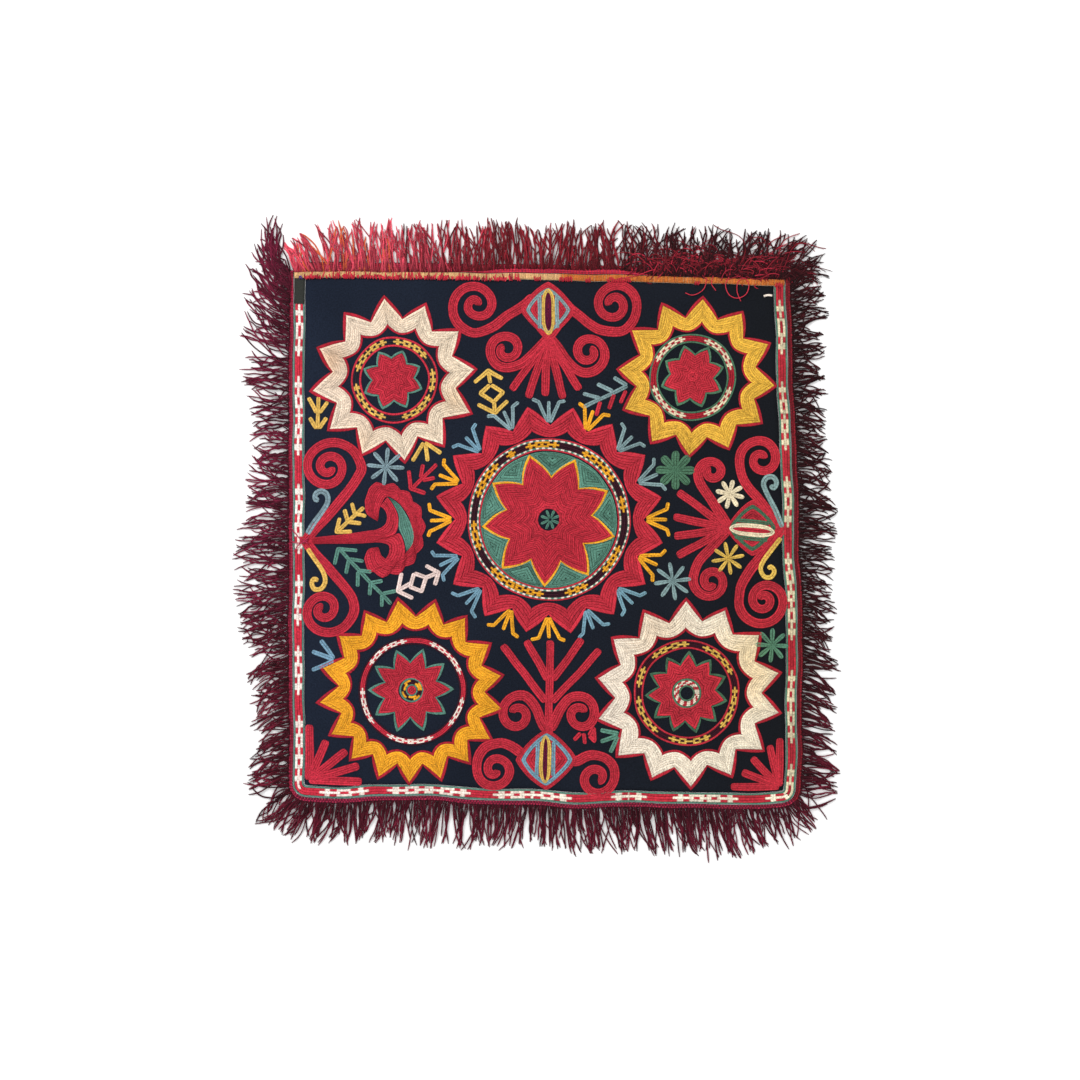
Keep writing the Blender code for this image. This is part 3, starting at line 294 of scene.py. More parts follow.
# %% Dyes
DYES = {
    "red": (206, 49, 68),
    "deep_red": (186, 36, 56),
    "cream": (236, 219, 192),
    "shell": (238, 216, 206),
    "white": (242, 228, 213),
    "mustard": (238, 186, 72),
    "gold": (248, 176, 42),
    "straw": (228, 188, 92),
    "sea_green": (96, 149, 133),
    "leaf_green": (82, 126, 102),
    "grey_blue": (136, 164, 170),
    "sky_blue": (122, 164, 184),
    "maroon": (58, 16, 34),
    "plum": (106, 20, 62),
    "night": (34, 36, 48),
    "crimson": (176, 44, 78),
    "wine": (88, 18, 36),
    "rose": (188, 64, 80),
    "mulberry": (98, 22, 46),
    "garnet": (54, 12, 18),
    "brick": (112, 24, 34),
    "ruby": (140, 30, 46),
    "rust": (206, 92, 56),
    "tan": (212, 168, 116),
    "orange": (198, 108, 44),
    "violet": (78, 52, 120),
    "olive": (42, 44, 40),
}


def dyed(name):
    """A dye's linear colour: a share c of full light becomes ((c + 0.055) / 1.055) to the 2.4."""
    share = np.array(DYES[name], float) / 255.0
    return ((share + 0.055) / 1.055) ** 2.4


print("dyes:", ", ".join(DYES))

# %% [markdown]
# ## Lines
# Each figure is sewn between two lines, so a few small functions make lines: a rounded curve
# through given points, the normals beside it, a way to walk along it, and a spiral.

# %% Lines


def smooth(points, step):
    """Points of a rounded line through the given ones, about step apart: a cubic runs between
    neighbours, its slope at each given point that of the chord across it."""
    given = np.array(points, float)
    ends = np.vstack([2 * given[0] - given[1], given, 2 * given[-1] - given[-2]])
    out = [given[:1]]
    for i in range(len(given) - 1):
        a, b, c, d = ends[i:i + 4]
        count = max(1, int(round(np.hypot(*(c - b)) / step)))
        t = (np.arange(1, count + 1) / count)[:, None]
        out.append(0.5 * (2 * b + (c - a) * t + (2 * a - 5 * b + 4 * c - d) * t ** 2
                          + (3 * b - a - 3 * c + d) * t ** 3))
    return np.vstack(out)


def normals(line):
    """Unit normals of a line, on the left hand of its run as the drawing is seen."""
    way = np.gradient(line, axis=0)
    way /= np.maximum(np.hypot(way[:, 0], way[:, 1]), 1e-9)[:, None]
    return np.stack([-way[:, 1], way[:, 0]], axis=1)


def shares(line):
    """Share of the whole length at each point of a line, from 0 to 1, and that length."""
    run = np.concatenate([[0.0], np.cumsum(np.hypot(*np.diff(line, axis=0).T))])
    return run / run[-1], run[-1]


def follow(line):
    """A function of the share s of the length that gives the place on a line."""
    share, _ = shares(line)
    return lambda s: (np.interp(s, share, line[:, 0]), np.interp(s, share, line[:, 1]))


def spiral(middle, first, sense, radii):
    """Points on a spiral whose radius runs evenly from one value to the next each quarter turn."""
    t = np.arange(0, len(radii) - 1 + 1e-6, 1 / 3)
    radius = np.interp(t, np.arange(len(radii)), radii)
    radius[1:-1] = 0.25 * radius[:-2] + 0.5 * radius[1:-1] + 0.25 * radius[2:]
    angle = np.radians(first + sense * 90 * t)
    return np.stack([middle[0] + radius * np.cos(angle),
                     middle[1] - radius * np.sin(angle)], axis=1)


def drifted(angle, crowd):
    """Angles in degrees, moved on by up to crowd, most at 190 degrees and not at 10."""
    return angle + crowd * 0.5 * (1 - np.cos(np.radians(angle - 10.0)))


bend = smooth(((0, 0), (9, 3), (14, 12)), 1.0)
print("a rounded line through 3 points has", len(bend), "points")

# %% [markdown]
# ## Bands
# A band is the strip between two lines, as a function of two shares: s runs along it and v
# across it. The pointed rings blend a zigzag into a scallop this way, and so the rows between
# them change from one to the other just as the sewer's rows do. Stars, circles, scrolls and
# stems are bands as well, which lets one sewing function fill them all.

# %% Bands that go round


def pointed_band(x, y, points, outer, inner, first, crowd=0.0, round_by=3.0, uneven=1.0):
    """From a zigzag, v = 0, to a scallop, v = 1, each given by its radii at the points and
    between them. With f the share of the way from one point to the next, the radius falls from
    the first to the second as 1 - |2 f - 1| on the zigzag and as sin(pi f) ^ 0.7 on the scallop.
    A row's share of the scallop is 1 - (1 - v) ^ round_by, so the valleys round off early. Each
    point and valley is up to uneven millimetres off, as hand-drawn ones are."""
    off = random.uniform(-uneven, uneven, (3, points))
    off = np.hstack([off, off[:, :1]])

    def band(s, v):
        at = np.asarray(s * points) % points
        k = np.minimum(at.astype(int), points - 1)
        f = at - k
        tip = outer[0] + np.where(f < 0.5, off[0][k], off[0][k + 1]) * (1 - v)
        valley = outer[1] + off[1][k] * (1 - v)
        tip = tip + (inner[0] - outer[0]) * v
        valley = valley + (inner[1] - outer[1]) * v
        bent = 1 - np.maximum(1 - v, 0) ** round_by
        dip = (1 - bent) * (1 - np.abs(2 * f - 1)) + bent * np.sin(np.pi * f) ** 0.7
        radius = tip - (tip - valley) * dip
        shift = off[2][k] * (1 - f) + off[2][k + 1] * f
        angle = np.radians(drifted(first + 360.0 * s, crowd)) + shift * (1 - v) / outer[0]
        return x + radius * np.cos(angle), y - radius * np.sin(angle)
    return band


def ring_band(x, y, points, tip, valley, cusp, arc, first, crowd):
    """A ring: from its points and valleys outside to cusps and arcs inside."""
    return pointed_band(x, y, points, (tip, valley), (cusp, arc), first, crowd)


def star_band(x, y, points, tip, valley, first, hub):
    """A star, its rows easing into the circle of its hub."""
    return pointed_band(x, y, points, (tip, valley), (hub, hub), first, round_by=1.6, uneven=0.8)


def round_band(x, y, outer, inner):
    """Between two circles, from 0 degrees counterclockwise as the drawing is seen."""
    def band(s, v):
        radius = outer + (inner - outer) * v
        return x + radius * np.cos(2 * np.pi * s), y - radius * np.sin(2 * np.pi * s)
    return band


middle_ring = ring_band(*RINGS["middle"][:9])
print("the middle ring's first tip is at", [round(float(c), 1) for c in middle_ring(0.0, 0.0)])

# %% [markdown]
# ## Bands beside a line
# Stems, horns and stripes don't go round. They lie between two open lines, or to either side of
# one line with a width that shrinks to a rounded end. A diamond goes round again: it stands on
# its corner, and its sides bulge a little.

# %% Bands beside a line


def ruled_band(first, second):
    """Between two lines, each given as a function of the share along it."""
    def band(s, v):
        (ax, ay), (bx, by) = first(s), second(s)
        return ax + (bx - ax) * v, ay + (by - ay) * v
    return band


def between(first_line, second_line):
    """Between two open lines of a few points, matched by the share of their lengths."""
    return ruled_band(follow(smooth(first_line, 1.5)), follow(smooth(second_line, 1.5)))


def stem_band(line, wide, last_wide=None, blunt=0.6):
    """Along a line, half its width to each side. Near an end the half width falls like a circle,
    sqrt(1 - t^2), down to the share blunt, which rounds the end off."""
    share, length = shares(line)
    side = normals(line)
    end = wide / 2

    def band(s, v):
        cx, cy = np.interp(s, share, line[:, 0]), np.interp(s, share, line[:, 1])
        nx, ny = np.interp(s, share, side[:, 0]), np.interp(s, share, side[:, 1])
        near = np.clip(1 - np.minimum(s, 1 - s) * length / end, 0, 1)
        half = (wide + ((last_wide or wide) - wide) * s) / 2
        half = half * (blunt + (1 - blunt) * np.sqrt(1 - near ** 2))
        return cx + nx * half * (2 * v - 1), cy + ny * half * (2 * v - 1)
    return band


def diamond_band(x, y, left, right, up, down, inner):
    """From a rounded diamond to a smaller one inside it: at an angle its reach is scaled by
    (|cos|^1.25 + |sin|^1.25) ^ (-1 / 1.25)."""
    bulge = 1.25

    def band(s, v):
        c, n = np.cos(2 * np.pi * s), np.sin(2 * np.pi * s)
        share = 1 - v * (1 - inner)
        scale = share * (np.abs(c) ** bulge + np.abs(n) ** bulge) ** (-1 / bulge)
        return (x + np.where(c > 0, right, left) * c * scale,
                y - np.where(n > 0, up, down) * n * scale)
    return band


def corners_of(points):
    """Shares along at which a ring or a star has its tips and valleys."""
    return np.arange(2 * points + 1) / (2 * points)


stem = stem_band(np.array(((0.0, 0.0), (25.0, 0.0), (50.0, 0.0))), 8.0)
print("an 8 mm stem is", round(abs(float(stem(0.5, 1.0)[1] - stem(0.5, 0.0)[1])), 1),
      "mm wide halfway")

# %% [markdown]
# ## The cloth's own unevenness
# Old cloth never lies quite flat, and nothing drawn by hand runs quite true. Two slow waves lift
# the face, and two more move every line a little. They are functions of the place on the drawing
# and not of the piece, so that all the pieces shift together and no gap opens between them.
# Stains and fading work in the same way, as soft spots that dim whatever lies under them.

# %% Waves and stains
SWELL = 0.18                # height of the face's waves
WANDER = 0.34               # how far the lines are moved


def lie(x, y):
    """Height of the cloth's upper face: two slow waves about its thickness."""
    return (CLOTH_HIGH + SWELL * (np.sin(x / 47.0 + 0.6) * np.cos(y / 61.0)
                                  + 0.5 * np.sin(x / 23.0 - y / 31.0)))


def place(x, y, z):
    """Drawing millimetres to the model's metres, with y turned up. Nothing drawn by hand runs
    quite true, so all of it is moved by two slow waves of about half a millimetre."""
    across = WANDER * (np.sin(y / 13.0 + 1.1 * np.sin(x / 37.0)) + 0.6 * np.sin((x + y) / 7.0))
    down = WANDER * (np.sin(x / 15.0 + 1.3 * np.sin(y / 31.0)) + 0.6 * np.sin((x - y) / 8.0))
    return np.stack([x + across - MIDDLE[0], MIDDLE[1] - y - down, z], axis=-1) * MM


# Stains and fading: middle, reach, and what they leave of red, green and blue.
STAINS = (
    ((330, 360), 17, (0.84, 0.72, 0.62)),
    ((455, 398), 14, (0.93, 0.85, 0.76)),
    ((360, 440), 16, (0.95, 0.90, 0.84)),
    ((752, 655), 34, (0.95, 0.86, 0.68)),
    ((655, 630), 30, (0.93, 0.87, 0.80)),
    ((755, 690), 22, (0.97, 0.91, 0.82)),
    ((560, 548), 24, (0.90, 0.84, 0.86)),
    ((395, 300), 22, (0.97, 0.93, 0.88)),
)


def stained(x, y):
    """What the stains leave of each colour: one minus a bell of each stain's strength. The
    right half has yellowed, so blue also falls off evenly from left to right."""
    side = ((x - MIDDLE[0]) / 240.0)[..., None]
    left = 1 - side * np.array((0.03, 0.0, 0.09))
    for (sx, sy), reach, keep in STAINS:
        bell = np.exp(-((x - sx) ** 2 + (y - sy) ** 2) / reach ** 2)[..., None]
        left *= 1 - bell * (1 - np.array(keep))
    return left


print("cloth between", round(float(lie(400.0, 400.0)), 2), "and",
      round(float(lie(600.0, 500.0)), 2), "mm high at two places")

# %% [markdown]
# ## One mesh for each piece
# The panel has hundreds of rows of stitches and thousands of strands. As objects of their own
# they would be slow, so each is only a grid of points in numpy. A piece gathers its grids with
# their dyes and maps, and becomes a single mesh at the end.

# %% Gather grids into one mesh


class Work:
    """The grids of one piece, joined into one mesh with a dye for each point and a UV map whose
    u runs along the yarn in millimetres and v across it."""

    def __init__(self, name):
        self.name = name
        self.points, self.quads, self.caps, self.dyes, self.maps = [], [], [], [], []
        self.count = 0

    def grid(self, points, dyes, uv, closed=False, up=True):
        """Adds a grid of points, shape (along, across, 3), joined by quads. A closed grid's end
        joins its start, and up turns a grid over if it faces down."""
        along, across = points.shape[:2]
        index = np.arange(along * across).reshape(along, across)
        if closed:
            index = np.vstack([index, index[:1]])
        quads = np.stack([index[:-1, :-1], index[1:, :-1], index[1:, 1:], index[:-1, 1:]], axis=-1)
        quads = quads.reshape(-1, 4)
        flat = points.reshape(-1, 3)
        if up:
            a, b, c = flat[quads[:, 0]], flat[quads[:, 1]], flat[quads[:, 3]]
            if np.cross(b - a, c - a)[:, 2].sum() < 0:
                quads = quads[:, ::-1]
        self.points.append(flat)
        self.quads.append(quads + self.count)
        self.dyes.append(np.broadcast_to(dyes, points.shape).reshape(-1, 3))
        self.maps.append(uv.reshape(-1, 2))
        self.count += along * across

    def tubes(self, points, dyes, uv):
        """Adds closed tubes, shape (tube, along, around, 3), each end shut by one flat face."""
        many, along, around = points.shape[:3]
        index = np.arange(many * along * around).reshape(many, along, around)
        turned = np.roll(index, -1, axis=2)
        a, b = index[:, :-1], turned[:, :-1]
        c, d = turned[:, 1:], index[:, 1:]
        quads = np.stack([a, b, c, d], axis=-1).reshape(-1, 4)
        caps = np.concatenate([index[:, 0, ::-1], index[:, -1]])
        inside = points.mean(axis=2, keepdims=True)
        corner = points[:, :-1, 0]
        over = np.cross(points[:, :-1, 1] - corner, points[:, 1:, 0] - corner)
        if ((corner - inside[:, :-1, 0]) * over).sum() < 0:
            quads, caps = quads[:, ::-1], caps[:, ::-1]
        self.points.append(points.reshape(-1, 3))
        self.quads.append(quads + self.count)
        self.caps.extend((caps + self.count).tolist())
        self.dyes.append(np.broadcast_to(dyes, points.shape).reshape(-1, 3))
        self.maps.append(uv.reshape(-1, 2))
        self.count += many * along * around

    def finish(self, material):
        """Makes the object, in place and smooth shaded, and lets it ride on the one body."""
        points, quads = np.vstack(self.points), np.vstack(self.quads)
        mesh = bpy.data.meshes.new(self.name)
        mesh.from_pydata(points.tolist(), [], quads.tolist() + self.caps)
        mesh.polygons.foreach_set("use_smooth", np.ones(len(mesh.polygons), bool))
        dye = mesh.attributes.new("dye", "FLOAT_COLOR", "POINT")
        colours = np.hstack([np.clip(np.vstack(self.dyes), 0, 1), np.ones((len(points), 1))])
        dye.data.foreach_set("color", colours.astype(np.float32).ravel())
        uv = mesh.uv_layers.new(name="yarn")
        corner = np.concatenate([quads.ravel(), *[np.array(cap) for cap in self.caps]])
        uv.data.foreach_set("uv", np.vstack(self.maps)[corner].astype(np.float32).ravel())
        mesh.materials.append(material)
        mesh.update()
        obj = bpy.data.objects.new(self.name, mesh)
        bpy.context.scene.collection.objects.link(obj)
        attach(obj, "root")
        triangles = sum(len(polygon.vertices) - 2 for polygon in mesh.polygons)
        print(self.name, triangles, "triangles")
        return obj


print("a piece is gathered from grids of points, dyes and maps")

# %% [markdown]
# ## Rows of chain stitch
# Seen close, a row of chain stitch is two yarns side by side with a hollow between them, pinched
# wherever one loop comes up through the last. Modelling every loop as a tube would take millions
# of faces. A profile of five points carried along the row keeps what the eye reads: the two
# ridges, the hollow, the pinches, and the groove between neighbouring rows. The dark of the
# groove and of the hollow is painted shade in the colour as well as relief.

# %% Sew a band full of rows
ACROSS = np.array([-1.0, -0.52, 0.0, 0.52, 1.0])        # places across one row
ARCH = np.array([0.05, 1.0, 0.66, 1.0, 0.05])           # heights there
# Painted shade at the five places across a row: most in the grooves at its edges, some in the
# hollow.
GROOVE_PAINTED_SHADE = np.array([1.0, 0.12, 0.45, 0.12, 1.0])         # how much of a groove they are
# Painted shade in a groove, by the dye: the dye's mean linear value, and the share of it lost.
PAINTED_SHADE_LOSS = ((0.0, 0.85), (0.22, 0.8), (0.38, 0.48), (0.8, 0.3))
# The painted shade takes less red and more blue, so it looks warm rather than grey.
PAINTED_SHADE_TINT = np.array([0.9, 1.0, 1.08])                       # and how that falls on the colours
BELLY = np.array([0.99, 1.08, 1.05])                    # width at a pinch and after it
RISE = np.array([0.80, 1.0, 0.95])                      # height at a pinch and after it
END_BELLY, END_RISE = 0.7, 0.25                         # both at the ends of a row
FLECK = 0.12                                            # how much single stations differ in tone


def sew(work, band, rows, dye, closed=False, lift=0.0, corners=(0.0, 1.0), part=(0.0, 1.0),
        stitch=STITCH, high=YARN_HIGH, tone=0.07):
    """Fills the part of a band with rows of chain stitch.

    A station is set every third of a stitch along the row's middle line, and at every corner.
    Five points lie across each station, and the pinch at every third one draws them together.
    dye is a name, or a function of the row, the share along and the millimetres along that
    gives one colour for the row or one for each station."""
    fine = np.linspace(0, 1, 1601)
    for row in range(rows):
        wide = (part[1] - part[0]) / rows
        middle = part[0] + wide * (row + 0.5)
        x, y = band(fine, np.full(fine.shape, middle))
        run = np.concatenate([[0.0], np.cumsum(np.hypot(np.diff(x), np.diff(y)))])
        marks = np.interp(corners, fine, run)
        steps = np.maximum(1, np.round(np.diff(marks) * 3 / stitch).astype(int))
        spots = [np.linspace(a, b, n, endpoint=False) for a, b, n in zip(marks, marks[1:], steps)]
        spots = np.concatenate(spots if closed else spots + [marks[-1:]])
        if len(spots) < 3:
            continue
        s = np.interp(spots, run, fine)
        phase = (np.arange(len(s)) + random.integers(3)) % 3
        belly, rise = BELLY[phase], RISE[phase]
        if not closed:
            belly[[0, -1]], rise[[0, -1]] = END_BELLY, END_RISE
        drift = 0.10 * np.sin(spots / 6.7 + 6.3 * random.random())
        v = middle + 0.5 * wide * (drift[:, None] + belly[:, None] * ACROSS)
        x, y = band(np.broadcast_to(s[:, None], v.shape), v)
        z = lie(x, y) + lift + high * rise[:, None] * ARCH
        colour = dyed(dye) if isinstance(dye, str) else dye(row, s, spots)
        lot = tone * random.normal() + tone * np.sin(spots / 19.0 + 6.3 * random.random())
        lot = 1 + lot + FLECK * random.normal(size=len(s))
        colour = np.broadcast_to(colour, (len(s), 3))
        # Painted shade: each place across the row loses a share of its dye, more for a dark dye.
        # shade is that, times the lot's random tone, times the stains.
        painted_groove_shade = np.interp(colour.mean(axis=1), *np.array(PAINTED_SHADE_LOSS).T)[:, None] * GROOVE_PAINTED_SHADE
        shade = lot[:, None, None] * (1 - painted_groove_shade[..., None] * PAINTED_SHADE_TINT) * stained(x, y)
        dyes = colour[:, None, :] * shade
        uv = np.stack(np.broadcast_arrays(spots[:, None], ACROSS[None, :]), axis=-1)
        work.grid(place(x, y, z), dyes, uv, closed)


print("one stitch has", 3 * (len(ACROSS) - 1) * 2, "triangles")

# %% [markdown]
# ## Strands
# Fringe yarn and sewing thread are round, so each is a tube with a few flat sides about a line.
# A curve object with a bevel would do for a few. Here all the strands of a side are worked out
# at once, as one array of strands, stations and sides, because there are thousands of them.

# %% Strands of yarn
SIDE_MAP = 1.2              # millimetres of the map for each side of a tube


def strands(work, lines, radius, dyes, sides=5):
    """Adds tubes along many lines at once, shape (strand, station, 3), in drawing millimetres
    with z up: a ring of points about each station at the given radius. dyes has one colour for
    each strand, or one for each of its stations."""
    way = np.gradient(lines, axis=1)
    way /= np.maximum(np.linalg.norm(way, axis=2, keepdims=True), 1e-9)
    side = np.stack([-way[..., 1], way[..., 0], np.zeros(way.shape[:2])], axis=-1)
    side /= np.maximum(np.linalg.norm(side, axis=2, keepdims=True), 1e-9)
    crown = np.cross(way, side)
    turn = 2 * np.pi * (np.arange(sides) + 0.5) / sides
    ring = (np.cos(turn)[:, None] * side[:, :, None, :]
            + np.sin(turn)[:, None] * crown[:, :, None, :])
    points = lines[:, :, None, :] + radius[:, :, None, None] * ring
    points = place(points[..., 0], points[..., 1], points[..., 2])
    run = np.cumsum(np.linalg.norm(np.diff(lines, axis=1, prepend=lines[:, :1]), axis=2), axis=1)
    uv = np.stack(np.broadcast_arrays(run[:, :, None], np.arange(sides) * SIDE_MAP), axis=-1)
    work.tubes(points, dyes[:, :, None, :], uv)


def even_radius(lines, radius):
    """The same radius at every station of the lines."""
    return np.full(lines.shape[:2], radius)


print("a strand with 4 sides and 12 stations has", 11 * 4 * 2 + 2 * 2, "triangles")

# %% [markdown]
# ## Finishes
# Silk and cotton floss have a soft sheen and a fine slanting ply. The shader takes the dye from
# the mesh, breaks it up with two sizes of noise in the piece's own space, the finer of them partly
# the fibres' own tone and partly painted highlights, and raises the ply as a slanting wave on the
# UV map. Sheen and roughness are the same all over, so they are set on the shader itself. A few
# helpers keep the node trees short to write.

# %% Helpers for finishes


def joined(tree, node_type, **values):
    """A new node with the given settings; a value named like an input sets that input."""
    node = tree.nodes.new(node_type)
    for key, value in values.items():
        if hasattr(node, key):
            setattr(node, key, value)
        else:
            node.inputs[key].default_value = value
    return node


def maths(tree, operation, *inputs):
    """A maths node's output. Each input is a number or another node's output."""
    node = joined(tree, "ShaderNodeMath", operation=operation)
    for socket, value in zip(node.inputs, inputs):
        if isinstance(value, bpy.types.NodeSocket):
            tree.links.new(value, socket)
        else:
            socket.default_value = value
    return node.outputs[0]


def fresh_material(name, roughness, sheen):
    """A Principled material with its constant values, its node tree and its shader."""
    material = bpy.data.materials.new(name)
    material.use_nodes = True
    tree = material.node_tree
    shader = next(n for n in tree.nodes if n.type == "BSDF_PRINCIPLED")
    shader.inputs["Roughness"].default_value = roughness
    shader.inputs["Sheen Weight"].default_value = sheen
    shader.inputs["Sheen Roughness"].default_value = 0.5
    shader.inputs["Specular IOR Level"].default_value = 0.12
    return material, tree, shader


def noise_tone(tree, where, scale, low, high, detail=3.0):
    """A noise in the piece's own space, spread from low to high."""
    noise = joined(tree, "ShaderNodeTexNoise", Scale=scale, Detail=detail)
    tree.links.new(where, noise.inputs["Vector"])
    limits = {"From Min": 0.3, "From Max": 0.7, "To Min": low, "To Max": high}
    spread = joined(tree, "ShaderNodeMapRange", **limits)
    tree.links.new(noise.outputs["Fac"], spread.inputs["Value"])
    return noise, spread.outputs["Result"]


def toned(tree, colour, factor):
    """A colour multiplied by a factor."""
    scale = joined(tree, "ShaderNodeVectorMath", operation="SCALE")
    tree.links.new(colour, scale.inputs[0])
    tree.links.new(factor, scale.inputs["Scale"])
    return scale.outputs["Vector"]


def raised(tree, shader, height, strength, distance):
    """Gives the shader a relief of the given height."""
    bump = joined(tree, "ShaderNodeBump", Strength=strength, Distance=distance)
    tree.links.new(height, bump.inputs["Height"])
    tree.links.new(bump.outputs["Normal"], shader.inputs["Normal"])


print("helpers made: one for nodes, one for sums, and one each for noise, tone and relief")

# %% [markdown]
# ## Plied yarn
# Two kinds of yarn differ only in shine and in how steeply and how far apart their ply runs, so
# one function makes both. The ply has to follow the yarn, which is why it reads the UV map.

# %% Yarn


def yarn_material(name, roughness, sheen, ply_mm, slant, relief):
    """Dyed yarn: the mesh's dye, toned by noise, with a slanting ply of the given spacing. The
    ply is sin(2 pi (u + slant v) / ply) on the UV map, whose u is in millimetres."""
    material, tree, shader = fresh_material(name, roughness, sheen)
    dye = joined(tree, "ShaderNodeAttribute", attribute_name="dye")
    where = joined(tree, "ShaderNodeTexCoord").outputs["Object"]
    _, fade = noise_tone(tree, where, 26.0, 0.92, 1.08)
    # The fine noise is partly the fibres' own tone and partly painted highlights on the fibres.
    fibre, fleck = noise_tone(tree, where, 900.0, 0.66, 1.36)
    colour = toned(tree, toned(tree, dye.outputs["Color"], fade), fleck)
    tree.links.new(colour, shader.inputs["Base Color"])
    uv = joined(tree, "ShaderNodeUVMap", uv_map="yarn")
    split = joined(tree, "ShaderNodeSeparateXYZ")
    tree.links.new(uv.outputs["UV"], split.inputs["Vector"])
    along = maths(tree, "MULTIPLY_ADD", split.outputs["Y"], slant, split.outputs["X"])
    wave = maths(tree, "SINE", maths(tree, "MULTIPLY", along, 2 * math.pi / ply_mm))
    height = maths(tree, "MULTIPLY_ADD", wave, 0.35, fibre.outputs["Fac"])
    raised(tree, shader, height, relief, 0.00025)
    return material


stitched_yarn = yarn_material("chain_stitched_silk", 0.62, 0.06, 1.15, 0.5, 0.8)
fringe_yarn = yarn_material("plied_fringe_yarn", 0.7, 0.04, 1.6, 0.8, 0.8)
print("yarns:", stitched_yarn.name, "and", fringe_yarn.name)

# %% [markdown]
# ## Seams
# The border and the binding are sewn to the cloth along its edge, so one line serves all of
# them. It runs down the left, round the two lower corners on small arcs and up the right, and
# a second line runs along the top.

# %% The seam that goes round three sides


def seam_line():
    """Down the left, round the corner, along the foot, round, and up the right, with the unit
    normals that point away from the cloth, and the stations of the two corners."""
    left, foot, right = smooth(LEFT_SEAM, 5.0), smooth(FOOT_SEAM, 5.0), smooth(RIGHT_SEAM, 5.0)
    corner_parts = []
    for cx, end, start, stop in ((left[-1, 0] + CORNER_RADIUS, foot[0], 190, 260),
                                 (right[0, 0] - CORNER_RADIUS, foot[-1], 280, 350)):
        cy = end[1] - CORNER_RADIUS
        angle = np.radians(np.linspace(start, stop, 5))
        corner_parts.append(np.stack([cx + CORNER_RADIUS * np.cos(angle),
                                      cy - CORNER_RADIUS * np.sin(angle)], axis=1))
    line = np.vstack([left, corner_parts[0], foot[1:-1], corner_parts[1], right[1:]])
    away = normals(line)
    if away[0, 0] > 0:
        away = -away
    first_corner = len(left) + 2
    return line, away, first_corner, first_corner + len(foot) + 3


seam, seam_away, left_corner, right_corner = seam_line()
top_seam = smooth(TOP_SEAM, 5.0)
print("seam", round(shares(seam)[1]), "mm round three sides")
print("and", round(shares(top_seam)[1]), "mm on top")

# %% [markdown]
# ## Ground cloth
# The ground is one piece of fulled dark wool, nearly black on the right and a faded navy on the
# left. It is a thin sheet with a woven face. Its edge follows the four seams, and a grid is
# stretched between them: the left and right seams are matched by their shares, and each line
# across is bent towards the top and the lower seam. The stitches gather the wool a little, so
# the face has shallow puckers beside its slow waves.

# %% Weave the sheet
GRID_STEP = 5.0
UNDERSIDE = 0.25            # height at which sheets and tapes end above the floor
# The wool's linear colours at the left and at the right, and where one turns to the other.
NAVY, BLACK = np.array((0.0095, 0.0145, 0.028)), np.array((0.0060, 0.0070, 0.0095))
FADE_FROM, FADE_OVER = 300.0, 480.0


def cloth_edges():
    """The cloth's four edges as lines drawn from the top left: left and right run down, top and
    foot run right. They keep half the seam's gap from the border and the binding."""
    half = PART_GAP / 2
    edge = seam - seam_away * half
    left, right = edge[:left_corner + 1], edge[right_corner:][::-1]
    foot = edge[left_corner:right_corner + 1]
    top = top_seam + (0.0, half)
    left = left[left[:, 1] > np.interp(left[:, 0], top[:, 0], top[:, 1]) + 1.0]
    right = right[right[:, 1] > np.interp(right[:, 0], top[:, 0], top[:, 1]) + 1.0]
    start = (left[0, 0], np.interp(left[0, 0], top[:, 0], top[:, 1]))
    stop = (right[0, 0], np.interp(right[0, 0], top[:, 0], top[:, 1]))
    top = top[(top[:, 0] > start[0]) & (top[:, 0] < stop[0])]
    top = np.vstack([[start], top, [stop]])
    return np.vstack([[start], left]), np.vstack([[stop], right]), top, foot


def patch(left, right, top, foot, u, v):
    """A four-sided patch: the sum of the two straight spans between opposite edges, less the
    span between the corners. u runs right and v runs down."""
    lx, ly = follow(left)(v)
    rx, ry = follow(right)(v)
    tx, ty = follow(top)(u)
    fx, fy = follow(foot)(u)
    (ax, ay), (bx, by), (cx, cy), (dx, dy) = top[0], top[-1], foot[0], foot[-1]
    x = ((1 - u) * lx + u * rx + (1 - v) * tx + v * fx
         - (1 - u) * (1 - v) * ax - u * (1 - v) * bx - (1 - u) * v * cx - u * v * dx)
    y = ((1 - u) * ly + u * ry + (1 - v) * ty + v * fy
         - (1 - u) * (1 - v) * ay - u * (1 - v) * by - (1 - u) * v * cy - u * v * dy)
    return x, y


def pucker(x, y):
    """Small gathers left by the sewing: three crossing waves of a tenth of a millimetre."""
    return 0.10 * (np.sin(x / 6.1 + 1.3 * np.sin(y / 17.0)) * np.sin(y / 8.3 + np.sin(x / 21.0))
                   + 0.7 * np.sin((x + y) / 11.0))


